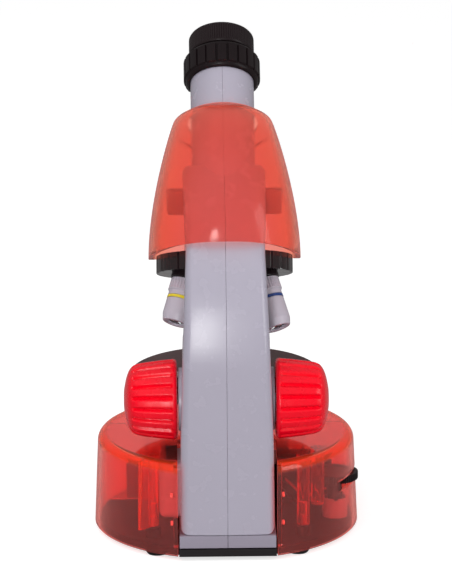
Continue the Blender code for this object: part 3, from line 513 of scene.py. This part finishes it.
def base_shell():
    """The clear drum with its flanges and front posts, then its rear posts, pegs and partition."""
    wall, edge = BASE_WALL, BASE_EDGE_R
    turn_z = BASE_H - edge
    outer = [(0, BASE_H)] + [(BASE_TOP_R - edge + r, turn_z + z) for r, z in arc((0, 0), edge, 90, 0, 10)]
    outer += [(BASE_R, 0.3), (BASE_R - 0.3, 0)]
    inner = [(BASE_R - wall, 0)] + [(BASE_TOP_R - edge + r, turn_z + z) for r, z in
                                    arc((0, 0), edge - wall, 0, 90, 8)] + [(0, BASE_H - wall)]
    shell = lathe("base_drum", outer + inner, 180)
    combine(shell, [box("notch", (-NOTCH_X, ARM_FRONT_Y - 0.4, -5), (NOTCH_X, 80, 60))])
    joins = [disc("post_" + name, radius, SCREW_POST_Z, BASE_H - 1, 32, (x, y, 0))
             for name, x, y, radius in FRONT_POSTS]
    for side in (-1, 1):
        x = NOTCH_X * side
        low, high = corners((x, FLANGE_Y[0], PLATE_T + 0.3), (x + FLANGE_T * side, FLANGE_Y[1], BASE_H - 1))
        joins.append(box(f"flange{side}", low, high))
    low, high = WHEEL_SLOT
    slot = lathe("slot", [(70, high), (70, low), (52, low), (52, high)], 120, ring=True)
    keep_inside(slot, box("slot_span", (-80, -6.5, 20), (-45, 31.0, 29)))
    cuts = [disc("window_hole", 9.0, 25, BASE_H + 5, 48, (0, OPTIC_Y, 0)), slot]
    cuts += [disc("hole_" + name, POST_HOLE_R, 0, 20, 20, (x, y, 0)) for name, x, y, _ in FRONT_POSTS]
    combine(shell, cuts, joins)
    piece(shell, "base", "red_clear", ["base_shell"], 28)
    ceiling = BASE_H - BASE_WALL - 0.1
    for name, x, y, radius, low in REAR_POSTS:
        post = disc("post_" + name, radius, low, ceiling, 40, (x, y, 0), edge=0.4)
        joins = []
        if name == "a":
            rib = ((33.5, 38.5), (40.5, 45.8), (41.4, 44.9), (34.6, 37.6))
            joins.append(prism("rib", rib, low, ceiling))
        cuts = [disc("hole", POST_HOLE_R, 0, 20, 20, (x, y, 0))] if low == SCREW_POST_Z else []
        combine(post, cuts, joins)
        # Post a and its rib take the painted glow copy of the drum's plastic
        piece(post, "base", "red_painted_glow" if name == "a" else "red_clear", ["base_shell"], 28)
    for side in (-1, 1):
        for number, z in enumerate(PEG_HEIGHTS):
            peg = disc(f"peg_{'left' if side > 0 else 'right'}_{number + 1}", PEG_SIZE, 0, PEG_SIZE, 24,
                       (PEG_X * side, PEG_Y, z), (side, 0, 0), 0.4)
            # The pegs' near-white colour is a painted highlight
            piece(peg, "base", "peg_painted_highlight", ["base_shell"])
    near, far = PARTITION_Y + PARTITION_HALF_T, PARTITION_Y - PARTITION_HALF_T
    partition = box("partition", (-58.4, far, 6), (58.4, near, 39.4))
    combine(partition, [box("bay_opening", (-52.5, PARTITION_Y - 3, 0), (-23.5, PARTITION_Y + 3, 30.0))],
            [box("partition_top", (-55.6, far, 30), (55.6, near, ceiling))])
    piece(partition, "base", "red_milky", ["base_shell"], 28)
    panel = box("partition_panel", (40.2, near + 0.02, 7.2), (48.2, near + 2.4, 27.0), 0.5)
    piece(panel, "base", "red_deep", ["base_shell"], 28)


def base_floor():
    """The black plate with its screw bosses, countersinks and battery opening."""
    plate = disc("base_floor", BASE_R - BASE_WALL - 0.4, 0, PLATE_T, 160, edge=0.3)
    joins = [box("tongue", (-22.7, 40, 0), (22.7, 66, PLATE_T))]
    for x, y in SHELL_POSTS:
        joins.append(disc(f"boss{x}{y}", 3.6, 1, 8.6, 32, (x, y, 0), edge=0.3))
    cuts = [box("beyond", (-80, PLATE_BACK_Y, -5), (80, 90, 20)),
            box("battery_opening", (-30, -49, -5), (30, -17, 20))]
    for x, y in SHELL_POSTS:
        cuts.append(disc(f"hole{x}{y}", 1.7, -5, 20, 20, (x, y, 0)))
        cuts.append(disc(f"sink{x}{y}", 3.0, -5, 1.9, 24, (x, y, 0)))
    for side in (-1, 1):
        at = (ARM_SCREW_X * side, ARM_SCREW_Y, 0)
        cuts.append(disc(f"arm_hole{side}", 2.0, -5, 20, 20, at))
        cuts.append(disc(f"arm_sink{side}", 3.2, -5, 1.9, 24, at))
    combine(plate, cuts, joins)
    piece(plate, "base", "black_floor", ["base_plate"])


def small_base_pieces():
    """The rubber feet, the plinth under the arm and the window over the lamp."""
    profile = [(0, -0.3), (FOOT_R, -0.3), (FOOT_R, -1.1), (FOOT_R - 0.7, -FOOT_H),
               (FOOT_R - 2.4, -FOOT_H), (FOOT_R - 2.8, -FOOT_H + 0.5), (0, -FOOT_H + 0.5)]
    for k, (x, y) in enumerate(FEET):
        foot = lathe(f"pad_{k + 1}", soft(profile, 0.25), 64, (x, y, 0))
        piece(foot, "base", "rubber", [f"foot_{k + 1}"])
    plinth = box("plinth_block", (-22.5, 19, PLATE_T + 0.3),
                 (22.5, PLATE_BACK_Y - 0.4, ARM_BOTTOM_Z - 0.3), 0.35, 2)
    cuts = [disc(f"plinth_hole{side}", 1.9, 0, 20, 20, (ARM_SCREW_X * side, ARM_SCREW_Y, 0))
            for side in (-1, 1)]
    cuts.append(box("plinth_seam", (-0.1, 50, 0), (0.1, 70, 20)))
    combine(plinth, cuts)
    piece(plinth, "base", "plinth_grey", ["plinth"])
    window = [(0, BASE_H + 0.9), (5, BASE_H + 0.8), (8, BASE_H + 0.4), (8.7, BASE_H - 0.2),
              (8.7, BASE_H - 1.8), (0, BASE_H - 1.8)]
    pane = lathe("lamp_window", soft(window, 0.4), 72, (0, OPTIC_Y, 0))
    piece(pane, "base", "glass", ["light_window"])


def dimmer():
    """The toothed thumbwheel, and the dark column and notched cup it stands on."""
    half = WHEEL_T / 2

    def teeth(angle, radius, height):
        if radius <= WHEEL_R - 0.8:
            return radius
        return radius - 0.35 * (1 - smoothstep(to_groove(angle, WHEEL_TEETH) / 0.3))

    profile = [(0, half - 0.4), (WHEEL_R - 3.5, half - 0.4), (WHEEL_R - 3.2, half), (WHEEL_R, half),
               (WHEEL_R, -half), (WHEEL_R - 3.2, -half), (WHEEL_R - 3.5, 0.4 - half), (0, 0.4 - half)]
    wheel = lathe("thumb_wheel", soft(profile, 0.45), 360, WHEEL_C, shape=teeth)
    piece(wheel, "dimmer", "black_plastic", ["dimmer_wheel"])
    low, high = PLATE_T + 0.3, WHEEL_C.z - half - 0.3
    profile = [(0, 9.0), (4.9, 9.0), (4.9, 13.6), (5.8, 13.6), (5.8, low), (0, low)]
    x, y, _ = WHEEL_C
    cup = lathe("dimmer_cup", soft(profile, 0.3), 64, (x, y, 0))
    column = disc("dimmer_column", 3.6, 9.05, high, 48, (x, y, 0), edge=0.4)
    piece(column, "base", "black_plastic", ["dimmer_body"])
    combine(cup, [box("notch_a", (x - 0.8, y, 12.8), (x + 0.8, y + 8, 15)),
                  box("notch_b", (x + 3, y - 0.8, 12.8), (x + 8, y + 0.8, 15))])
    piece(cup, "base", "grey_plastic", ["dimmer_body"])


# ---------------------------------------------------------------- body

def body_outline():
    """Side view of the arm and head block as (y, z) points."""
    bend = arc((ARM_BACK_Y - ARM_BEND_R, ARM_BEND_Z), ARM_BEND_R, 0, ARM_BEND_DEG, 48)
    crest = bend[-1]
    under = TURRET_C - TURRET_N * 5.5
    rise = math.tan(TURRET_TILT)
    return [(ARM_BACK_Y, ARM_BOTTOM_Z)] + bend + [
        (HEAD_FRONT_Y, crest[1] - (crest[0] - HEAD_FRONT_Y)),
        (HEAD_FRONT_Y, under.z + (HEAD_FRONT_Y - under.y) * rise),
        (28.0, under.z + (28.0 - under.y) * rise),
        (30.0, 120.0),
        (ARM_FRONT_Y, 98.0),
        (ARM_FRONT_Y, ARM_BOTTOM_Z),
    ]


def half_width(z):
    """Half the body's width at a height."""
    stations = ((10, 22.0), (52, 21.6), (89, 20.4), (108, 19.7), (140, 18.3), (176, 19.8))
    for (z0, w0), (z1, w1) in zip(stations, stations[1:]):
        if z <= z1:
            return w0 + (w1 - w0) * max(0.0, (z - z0) / (z1 - z0))
    return stations[-1][1]


def body_core(side):
    """Arm and head block half: rounded outer edges, tapering sides and a slightly crowned back."""
    outline = body_outline()
    work = bmesh.new()
    inner, outer = extrude(work, *([work.verts.new((level * MM, y * MM, z * MM)) for y, z in outline]
                                   for level in (SEAM_X, CORE_X)))
    seam = list(inner.edges)
    bmesh.ops.bevel(work, geom=list(outer.edges), offset=BODY_EDGE_R * MM, segments=8, profile=0.5,
                    affect="EDGES", clamp_overlap=True)
    bmesh.ops.bevel(work, geom=[e for e in seam if e.is_valid], offset=SEAM_EDGE * MM, segments=1,
                    affect="EDGES", clamp_overlap=True)
    planes = [((0, 0, level), (0, 0, 1)) for level in range(16, 172, 6)]
    planes += [((level, 0, 0), (1, 0, 0)) for level in (1.5, 3, 5, 7, 9, 11, 13, 14.5)]
    for at, normal in planes:
        bmesh.ops.bisect_plane(work, geom=work.verts[:] + work.edges[:] + work.faces[:],
                               plane_co=Vector(at) * MM, plane_no=normal)
    centre = Vector((0, ARM_BACK_Y - ARM_BEND_R, ARM_BEND_Z))
    for vert in work.verts:
        p = vert.co / MM
        away = Vector((0, p.y - centre.y, max(0.0, p.z - centre.z)))
        share = smoothstep((away.length - 80) / 8)
        p -= away.normalized() * ARM_CROWN * (p.x / CORE_X) ** 2 * share
        p.x *= half_width(p.z) / CORE_X * side
        vert.co = p * MM
    return put("shell_left" if side > 0 else "shell_right", work)


def body_half(side, relief):
    """One half of the grey body with its share of the tube, its shaft boss and everything cut from it."""
    core = body_core(side)
    seam = SEAM_X * side

    def half_of(tool):
        return keep_inside(tool, box("seam", *corners((seam, -120, 0), (60 * side, 80, 300))))

    joins = [half_of(disc("tube", TUBE_R, TUBE_LOW, TUBE_TOP, 120, TUBE_END, TUBE_DIR, 0.6))]
    low, high = sorted((19.0 * side, SHAFT_BOSS_X * side))
    joins.append(disc("shaft_boss", SHAFT_BOSS_R, low, high, 96, (0, SHAFT_Y, SHAFT_Z), (1, 0, 0), 0.6))
    if side > 0:
        joins.append(box("ear", (seam, 22, 16), (EAR_X, 50, 42.4), 3.0, 5))
    low, high = sorted((0, 17.5 * side))
    slot_low, slot_high = sorted((-1.0 * side, 8.3 * side))
    air = Vector((5, 0.3, 0.3))                 # play around the bracket, and clear of its ends
    room = enlist(relief.copy())
    cuts = [
        disc("bore", TUBE_BORE_R, 2.0, 80, 96, TUBE_END, TUBE_DIR),
        disc("neck_bore", 11.0, -20, 3, 48, TUBE_END, TUBE_DIR),
        disc("light_path", 8.5, 100, 172, 48, (0, OPTIC_Y, 0)),
        room,
        box("arm_room", (low - 0.2, ARM_FRONT_Y + BODY_WALL, 18),
            (high + 0.2, ARM_BACK_Y - BODY_WALL - 1.8, 92.5)),
        box("slot", (slot_low, 10, 44.5), (slot_high, ARM_FRONT_Y + 5, 91.6)),
        disc("shaft_hole", SHAFT_R + 0.4, -40, 40, 32, (0, SHAFT_Y, SHAFT_Z), (1, 0, 0)),
        box("bracket_slot", BRACKET_LOW - air, BRACKET_HIGH + air),
        disc("foot_hole", 1.8, 0, 17.0, 20, (ARM_SCREW_X * side, ARM_SCREW_Y, 0)),
    ]
    for k, (y, z) in enumerate(BODY_SCREWS):
        cuts.append(disc(f"screw_pass{k}", 1.7, -40, 13.7, 24, (0, y, z), (1, 0, 0)))
        cuts.append(disc(f"screw_sink{k}", 3.1, -40, -15.0, 32, (0, y, z), (1, 0, 0)))
    combine(core, cuts, joins)
    node = "body_left" if side > 0 else "body_right"
    piece(core, "base", "grey_plastic", [node], 30)


def body():
    """Both halves, hollowed under the head for the turret, and the bar across the hood."""
    half = TURRET_T / 2
    profile = [(0, half + 0.6), (TURRET_R + 1.3, half + 0.6), (TURRET_R + 1.3, -5.5),
               (39.0, -27.5), (39.0, -35.0), (0, -35.0)]
    relief = lathe("relief", profile, 96, TURRET_C, -TURRET_N)
    for side in (-1, 1):
        body_half(side, relief)
    bpy.data.objects.remove(relief, do_unlink=True)
    piece(box("hood_bar", BRACKET_LOW, BRACKET_HIGH, 0.8, 3), "base", "bar_brown",
          ["hood_bracket"])


# ---------------------------------------------------------------- hood

def hood():
    """Clear hood: rings between a back and a front curve, then a collar that closes on the tube.

    The curves hold (y, z) points. Squareness, width and droop follow Bezier curves too.
    """
    back = [Vector(p) for p in ((42.8, 147.0), (38.0, 172.0), (16.0, 196.0), (-15.3, 199.9))]
    front = [Vector(p) for p in ((-41.0, 120.5), (-54.0, 146.0), (-59.0, 172.0), (-44.2, 170.9))]
    squareness, width, droop = (2.5, 2.5, 2.2, 2.0), (35.9, 35.8, 25.6, 24.0), (5.2, 5.0, 0.0, 0.0)
    rings, sides = 40, 144

    def bezier(points, t):
        a, b, c, d = points
        s = 1 - t
        return a * s ** 3 + b * 3 * s * s * t + c * 3 * s * t * t + d * t ** 3

    work = bmesh.new()
    rows = []
    for k in range(rings + 1):
        t = math.sin(k / rings * math.pi / 2)
        b, f = bezier(back, t), bezier(front, t)
        middle, reach, half = (b + f) / 2, (b - f) / 2, bezier(width, t)
        power = 2 / bezier(squareness, t)
        row = []
        for j in range(sides):
            angle = math.tau * j / sides
            along, across = math.cos(angle), math.sin(angle)
            along = math.copysign(abs(along) ** power, along)
            across = math.copysign(abs(across) ** power, across)
            y = middle.x + reach.x * along
            z = middle.y + reach.y * along - bezier(droop, t) * (1 - along ** 2)
            row.append(work.verts.new((half * across * MM, y * MM, z * MM)))
        rows.append(row)
    for along, radius, half in ((16.9, 19.0, 21.0), (17.5, 17.6, 18.2), (17.7, 16.9, 16.9)):
        row = []
        for j in range(sides):
            angle = math.tau * j / sides
            p = tube_point(along, radius * math.cos(angle))
            row.append(work.verts.new((half * math.sin(angle) * MM, p.y * MM, p.z * MM)))
        rows.append(row)
    for lower, upper in zip(rows, rows[1:]):
        for j in range(sides):
            n = (j + 1) % sides
            work.faces.new((lower[j], lower[n], upper[n], upper[j]))
    cover = put("hood_shell", work)
    skin = cover.modifiers.new("wall", "SOLIDIFY")
    skin.thickness = 1.8 * MM
    skin.offset = -1
    rim = cover.modifiers.new("rim", "BEVEL")
    rim.width = 0.8 * MM
    rim.segments = 3
    rim.limit_method = "ANGLE"
    rim.angle_limit = math.radians(55)
    settle(cover)
    piece(cover, "base", "hood_clear", ["head_hood"], 50, False)


# ---------------------------------------------------------------- turret and objectives

def turret():
    """The fluted turret disc with its facets and threads, its screw, and the three objectives."""
    half = TURRET_T / 2
    pieces = []

    def flute(angle, radius, height):
        if radius < TURRET_R - 1.5:
            return radius
        return radius - 0.9 * (1 - smoothstep(to_groove(angle, TURRET_FLUTES) / 0.1 - 0.35))

    rim = soft([(0, half), (TURRET_R, half), (TURRET_R, -half), (0, -half)], 0.5)
    disc_piece = lathe("nosepiece", rim, 480, TURRET_C, -TURRET_N, shape=flute)
    joins, cuts = [], []
    for name, length, degrees in OBJECTIVES:
        radial = Matrix.Rotation(math.radians(degrees), 3, TURRET_N) @ TURRET_U
        aim = TURRET_N * math.cos(TURRET_TILT) + radial * math.sin(TURRET_TILT)
        seat = TURRET_C + radial * OBJECTIVE_RING_R + TURRET_N * half
        seat += aim * (8.0 * math.tan(TURRET_TILT) + FACET_H)
        pieces.append((name, length, seat, aim))
        joins.append(disc("facet_" + name, 8.6, -9.3, -0.3, 64, seat, aim, 0.3))
        cuts.append(disc("thread_" + name, 6.3, -14.3, 3, 40, seat, aim))
    cuts.append(disc("pin", 3.3, -10, 10, 32, TURRET_C, TURRET_N))
    combine(disc_piece, cuts, joins)
    piece(disc_piece, "turret", "turret_black", ["turret_disc"])
    for entry in pieces:
        objective(*entry)
    screw = [(0, half + 3.4), (3.0, half + 3.0), (5.0, half + 1.6), (5.0, half + 0.3), (2.9, half + 0.3),
             (2.9, -half - 0.6), (0, -half - 0.6)]
    head = lathe("turret_pin", soft(screw, 0.5), 64, TURRET_C, TURRET_N)
    piece(head, "turret", "steel", ["turret_screw"])


def objective(name, length, seat, aim):
    """Barrel with a knurled collar, its coloured band and its front lens; depths run from the seat."""
    tip = length - 3.2
    groove = 6.9
    band_top = BAND_AT - 3.2
    band_low = band_top + BAND_T

    def knurl(angle, radius, height):
        if radius < 7.6 or not 0.5 < -height < 5.2:
            return radius
        return radius - 0.4 * (1 - smoothstep(to_groove(angle, COLLAR_KNURLS) / 0.28))

    outer = [(3.6, -6.5), (5.9, -6.5), (5.9, 0), (8.0, 0), (8.0, 0.7), (8.0, 5.0), (8.0, 5.8), (7.3, 6.2),
             (7.3, band_top), (groove, band_top), (groove, band_low), (7.3, band_low), (7.2, tip - 3.4),
             (6.2, tip), (4.4, tip), (4.4, tip - 1.7), (3.6, tip - 1.7)]
    profile = soft([(r, -a) for r, a in outer], 0.35, True, 3)
    barrel = lathe("barrel_" + name, profile, 288, seat, -aim, True, knurl)
    piece(barrel, "turret", "objective_grey", ["objective_" + name])
    low, high = -band_low + 0.2, -band_top - 0.2
    profile = soft([(7.42, low), (7.42, high), (groove + 0.1, high), (groove + 0.1, low)], 0.12, True, 2)
    band = lathe("ring_" + name, profile, 96, seat, -aim, True)
    look = {"low": "band_red", "medium": "band_yellow", "high": "band_blue"}[name]
    piece(band, "turret", look, ["band_" + name])
    profile = soft([(0, 1.5), (1.2, 1.44), (2.2, 1.3), (3.3, 0.95), (4.1, 0.6), (4.1, 0.3), (0, 0.3)], 0.1)
    lens = lathe("front_lens_" + name, profile, 48, seat + aim * (tip - 1.7), aim)
    piece(lens, "turret", "glass", ["lens_" + name])


# ---------------------------------------------------------------- focus drive and stage

def knob(side):
    """Focusing knob, ribbed between its rims."""
    node = "knob_left" if side > 0 else "knob_right"
    shape = ribs(KNOB_RIBS, 0.26, 1.6, KNOB_IN + 1.6, KNOB_OUT - 3.6, 1.4)
    profile = [(0, KNOB_IN + 0.6), (9.0, KNOB_IN + 0.6), (10.0, KNOB_IN)]
    near = ((2.0, 0), (0.5, 0.5), (0, 1.7), (0.2, 3.2), (0.5, 7), (1.0, 11), (1.5, 15))
    profile += [(KNOB_R_IN - less, KNOB_IN + up) for less, up in near]
    far = ((-0.1, 6.2), (0.9, 4.0), (3.2, 2.3), (6.6, 1.1), (10.5, 0.35))
    profile += [(KNOB_R_OUT - less, KNOB_OUT - down) for less, down in far]
    profile += [(4.0, KNOB_OUT - 0.05), (0, KNOB_OUT)]
    made = lathe("focus_" + node, soft(profile, 1.6, count=5), 400,
                 (0, SHAFT_Y, SHAFT_Z), (side, 0, 0), shape=shape)
    piece(made, "focus_drive", "red_plastic", [node], 40, False)


def stage():
    """Round stage with a flat back, a chamfered hole and the clips' threads."""
    plate = disc("stage_disc", STAGE_R, STAGE_TOP_Z - STAGE_T, STAGE_TOP_Z, 200, (0, OPTIC_Y, 0), edge=0.8)
    hole = [(0, 80), (STAGE_HOLE_R + 11.5 + 0.6, 80), (STAGE_HOLE_R + 0.6, STAGE_TOP_Z),
            (STAGE_HOLE_R, STAGE_TOP_Z - 0.6), (STAGE_HOLE_R, 50), (0, 50)]
    cuts = [box("stage_flat", (-80, STAGE_BACK_Y, 50), (80, 80, 80)),
            lathe("stage_hole", hole, 72, (0, OPTIC_Y, 0))]
    cuts += [disc(f"thread{side}", 1.9, 50, 80, 24, (CLIP_X * side, CLIP_Y, 0)) for side in (-1, 1)]
    combine(plate, cuts)
    piece(plate, "stage", "dark_stage", ["stage_plate"])
    for side in (-1, 1):
        clip(side)


def clip(side):
    """Spring clip bent from strip: a flat eye, a slightly raised arm and a turned-up toe."""
    name = "left" if side > 0 else "right"
    line = [Vector(p) for p in ((23, 2.2), (22.6, -2), (20.9, -9), (17.6, -17), (14.0, -24),
                                (12.4, -28.5), (12.0, -31.6))]
    section = ((-1, 0.12), (-0.94, 0), (0.94, 0), (1, 0.12), (1, 0.78), (0.94, 0.9), (-0.94, 0.9), (-1, 0.78))
    widths = (3.0, 3.1, 2.6, 2.1, 1.9, 2.2, 1.6)
    lifts = (0.3, 0.3, 0.32, 0.32, 0.3, 0.3, 1.3)
    ends = [2 * line[0] - line[1], *line, 2 * line[-1] - line[-2]]
    work = bmesh.new()
    rows = []
    count = 8                                   # steps between two points of the line
    for k in range(len(line) - 1):
        for step in range(count + (k == len(line) - 2)):
            t = step / count
            p0, p1, p2, p3 = ends[k:k + 4]
            p = 0.5 * (2 * p1 + (p2 - p0) * t + (2 * p0 - 5 * p1 + 4 * p2 - p3) * t ** 2
                       + (3 * p1 - p0 - 3 * p2 + p3) * t ** 3)
            along = (p2 - p0).lerp(p3 - p1, t).normalized()
            across = Vector((-along.y, along.x))
            s = smoothstep(t)
            wide = widths[k] * (1 - s) + widths[k + 1] * s
            lift = lifts[k] * (1 - s) + lifts[k + 1] * s
            row = []
            for w, h in section:
                q = p + across * wide * w
                row.append(work.verts.new((q.x * side * MM, q.y * MM, (STAGE_TOP_Z + lift + h) * MM)))
            rows.append(row)
    for a, b in zip(rows, rows[1:]):
        for j in range(len(section)):
            n = (j + 1) % len(section)
            work.faces.new((a[j], a[n], b[n], b[j]))
    work.faces.new(rows[0])
    work.faces.new(rows[-1])
    strip = put("spring_clip_" + name, work)
    combine(strip, [disc("eye", 1.7, 50, 80, 24, (CLIP_X * side, CLIP_Y, 0))])
    piece(strip, "clip_" + name, "nickel", ["stage_clip_" + name])
    x, y = CLIP_X * side, CLIP_Y
    profile = [(0, 1.6), (1.8, 1.5), (2.9, 1.1), (3.2, 0.5), (3.2, 0), (1.4, 0), (1.4, -5.4), (0, -5.4)]
    head = lathe("clip_stud_" + name, soft(profile, 0.35), 48, (x, y, STAGE_TOP_Z + 1.6))
    combine(head, [box("slot", (x - 4, y - 0.4, STAGE_TOP_Z + 2.7), (x + 4, y + 0.4, STAGE_TOP_Z + 9))])
    piece(head, "clip_" + name, "nickel", ["clip_screw_" + name])


# ---------------------------------------------------------------- eyepiece

def eyepiece():
    """Ribbed zoom ring, knurled cap and the two lenses, all along the inclined tube."""
    crest, trough = RING_R, RING_R - 1.0

    def lands(angle, radius, height):
        if radius < TUBE_R + 1.2:
            return radius
        drop = (crest - trough) * (1 - smoothstep(to_groove(angle, RING_LANDS) / 0.07 - 0.6))
        ends = smoothstep((height - RING_FROM - 1.6) / 0.7) * smoothstep((RING_TO - 1.6 - height) / 0.7)
        return min(radius, crest) - (crest - trough) * (1 - ends) - drop * ends

    profile = [(RING_R - 2.0, RING_TO), (RING_R - 0.6, RING_TO - 0.4)]
    profile += [(RING_R, RING_TO - down) for down in (1.4, 1.7, 2.0, 2.4)] + [(RING_R, 46.5)]
    profile += [(RING_R, RING_FROM + up) for up in (2.4, 2.0, 1.7, 1.4)]
    profile += [(RING_R - 0.6, RING_FROM + 0.4), (RING_R - 1.6, RING_FROM), (TUBE_R + 0.3, RING_FROM),
                (TUBE_R + 0.3, TUBE_TOP + 0.4), (BARREL_R + 0.3, TUBE_TOP + 0.4), (BARREL_R + 0.3, RING_TO)]
    ring = lathe("zoom_grip", soft(profile, 0.3, True, 2), 440, TUBE_END, TUBE_DIR, True, lands)
    piece(ring, "zoom", "black_plastic", ["zoom_ring"])

    def fine(angle, radius, height):
        if radius < CAP_R - 0.7 or not CAP_FROM + 1.1 < height < CAP_TO - 1.3:
            return radius
        return radius - 0.3 * (1 - smoothstep(to_groove(angle, CAP_KNURLS) / 0.32))

    profile = [(CAP_R - 2.4, CAP_TO - 0.3), (CAP_R - 1.6, CAP_TO), (CAP_R - 0.5, CAP_TO - 0.4),
               (CAP_R, CAP_TO - 1.2), (CAP_R, CAP_TO - 1.8), (CAP_R, CAP_FROM + 1.6),
               (CAP_R, CAP_FROM + 0.9), (CAP_R - 0.5, CAP_FROM), (8.6, CAP_FROM),
               (8.6, CAP_TO - 3.6), (10.6, CAP_TO - 3.0)]
    cap = lathe("eye_cap", soft(profile, 0.3, True, 3), 704, TUBE_END, TUBE_DIR, True, fine)
    piece(cap, "eyepiece", "cap_black", ["eyepiece_cap"])
    eye = [(0, 61.4), (2, 61.33), (4, 61.1), (6.2, 60.4), (8.2, 59.4), (8.2, 58.8), (4, 57.9), (0, 57.6)]
    field = [(0, 29.4), (5, 29.0), (10.7, 27.0), (10.7, 26.2), (5, 25.4), (0, 25.2)]
    for name, node, points in (("eye_glass", "eye_lens", eye), ("field_glass", "field_lens", field)):
        lens = lathe(name, soft(points, 1.2), 72, TUBE_END, TUBE_DIR)
        piece(lens, "eyepiece", "glass", [node])


base_shell()
base_floor()
small_base_pieces()
dimmer()
body()
hood()
turret()
for knob_side in (-1, 1):
    knob(knob_side)
stage()
eyepiece()


# ---------------------------------------------------------------- CAD nodes that stay

KEPT = {
    "black_plastic": ("battery_box", "battery_cover", "eyepiece_barrel", "focus_pinion", "stage_carriage"),
    "steel": ("focus_shaft", "base_screw_1", "base_screw_2", "base_screw_3", "base_screw_4",
              "arm_screw_left", "arm_screw_right", "body_screw_1", "body_screw_2", "cover_screw",
              "battery_contact_1", "battery_contact_2"),
    "mirror": ("deflection_mirror",),
    "board": ("lamp_board",),
    "lamp": ("lamp_led",),
    "cell": ("battery_cell_1", "battery_cell_2"),
    "wire_red": ("wire_red",),
    "wire_black": ("wire_black",),
}
BOXY = ("battery_box", "battery_cover", "stage_carriage", "lamp_board")
for look, names in KEPT.items():
    for name in names:
        node = frame["nodes"][name]
        node.data.materials.clear()
        node.data.materials.append(M[look])
        node.data.shade_smooth()
        node.data.set_sharp_from_angle(angle=math.radians(35))
        if name in BOXY:
            step = node.modifiers.new("edges", "BEVEL")
            step.width = 0.3 * MM
            step.segments = 3
            step.limit_method = "ANGLE"
            step.harden_normals = True


# ---------------------------------------------------------------- floor, light and camera

LIGHT_AIM = Vector((0, 0, 0.12))
FOCAL_PX, PHOTO_PX, SENSOR = 3436, 584, 36      # focal length and longer side of the photo in pixels


def floor():
    """Pale floor that looks evenly lit to the camera but lights the object like matt paper."""
    work = bmesh.new()
    bmesh.ops.create_grid(work, x_segments=1, y_segments=1, size=4.0)
    made = put("floor", work)
    made.location = (0, 0, -(FOOT_H + 0.05) * MM)
    n = Nodes("floor")
    n.link(n.mix(n.spread(n.noise(3, 2), 0, 1), (0.40, 0.40, 0.40, 1), (0.42, 0.42, 0.42, 1)),
           n.shader.inputs["Base Color"])
    n.shader.inputs["Roughness"].default_value = 0.9
    n.shader.inputs["Specular IOR Level"].default_value = 0.1
    seen = n.new("ShaderNodeBsdfDiffuse")
    seen.inputs["Color"].default_value = (0.6, 0.6, 0.6, 1)
    glow = n.new("ShaderNodeEmission")
    glow.inputs["Strength"].default_value = 0.67
    both = n.new("ShaderNodeAddShader")
    n.link(seen.outputs["BSDF"], both.inputs[0])
    n.link(glow.outputs["Emission"], both.inputs[1])
    n.link(n.blend(seen_directly(n.tree), n.shader.outputs["BSDF"], both.outputs["Shader"]),
           n.output.inputs["Surface"])
    made.data.materials.append(n.material)


def world():
    """White where it is seen; as light, brighter from above and from the photo's side."""
    made = bpy.data.worlds.new("studio")
    made.use_nodes = True
    tree = made.node_tree
    new, link = tree.nodes.new, tree.links.new
    sky = tree.nodes["Background"]
    sky.inputs["Color"].default_value = (1, 1, 1, 1)
    where = new("ShaderNodeTexCoord")
    split = new("ShaderNodeSeparateXYZ")
    link(where.outputs["Generated"], split.inputs[0])
    height = new("ShaderNodeMapRange")
    side = new("ShaderNodeMapRange")
    for node, axis, numbers in ((height, "Z", (-0.2, 0.8, 0.24, 0.58)), (side, "Y", (-0.9, 0.6, 0.85, 1.0))):
        for key, number in zip(("From Min", "From Max", "To Min", "To Max"), numbers):
            node.inputs[key].default_value = number
        link(split.outputs[axis], node.inputs["Value"])
    power = new("ShaderNodeMath")
    power.operation = "MULTIPLY"
    link(height.outputs["Result"], power.inputs[0])
    link(side.outputs["Result"], power.inputs[1])
    link(power.outputs["Value"], sky.inputs["Strength"])
    seen = new("ShaderNodeBackground")
    seen.inputs["Strength"].default_value = 1.0
    seen.inputs["Color"].default_value = (1, 1, 1, 1)
    blend = new("ShaderNodeMixShader")
    link(seen_directly(tree), blend.inputs["Fac"])
    link(sky.outputs["Background"], blend.inputs[1])
    link(seen.outputs["Background"], blend.inputs[2])
    link(blend.outputs["Shader"], tree.nodes["World Output"].inputs["Surface"])
    bpy.context.scene.world = made


def area_light(name, at, size, power, mirrored=True):
    """Softbox aimed at the middle of the object."""
    data = bpy.data.lights.new(name, "AREA")
    data.shape = "RECTANGLE"
    data.size, data.size_y = size
    data.energy = power
    made = enlist(bpy.data.objects.new(name, data))
    made.location = at
    made.rotation_mode = "QUATERNION"
    made.rotation_quaternion = (LIGHT_AIM - Vector(at)).to_track_quat("-Z", "Y")
    made.visible_glossy = mirrored


def camera():
    """The photo's view, fitted to the two ellipses of the base drum."""
    yaw, roll, distance = math.radians(0.74), math.radians(-0.39), 1.575
    data = bpy.data.cameras.new("camera")
    data.lens = FOCAL_PX / PHOTO_PX * SENSOR
    data.sensor_width = SENSOR
    data.shift_x = 1.32 / PHOTO_PX
    data.clip_start, data.clip_end = 0.05, 30
    made = enlist(bpy.data.objects.new("camera", data))
    at = Vector((distance * math.sin(yaw), distance * math.cos(yaw), 0.5235))
    aim = (Vector((0, 0, 0.1119)) - at).to_track_quat("-Z", "Y").to_matrix()
    made.rotation_mode = "QUATERNION"
    made.rotation_quaternion = (aim @ Matrix.Rotation(roll, 3, "Z")).to_quaternion()
    made.location = at
    bpy.context.scene.camera = made


floor()
world()
area_light("key", (0.24, 1.75, 0.28), (0.2, 0.9), 13.0)
area_light("top", (0.5, 0.45, 1.05), (1.2, 1.2), 4.6, mirrored=False)
area_light("side", (-1.1, 0.7, 0.45), (0.5, 0.9), 5.0)
camera()
bpy.context.scene.view_settings.view_transform = "Standard"
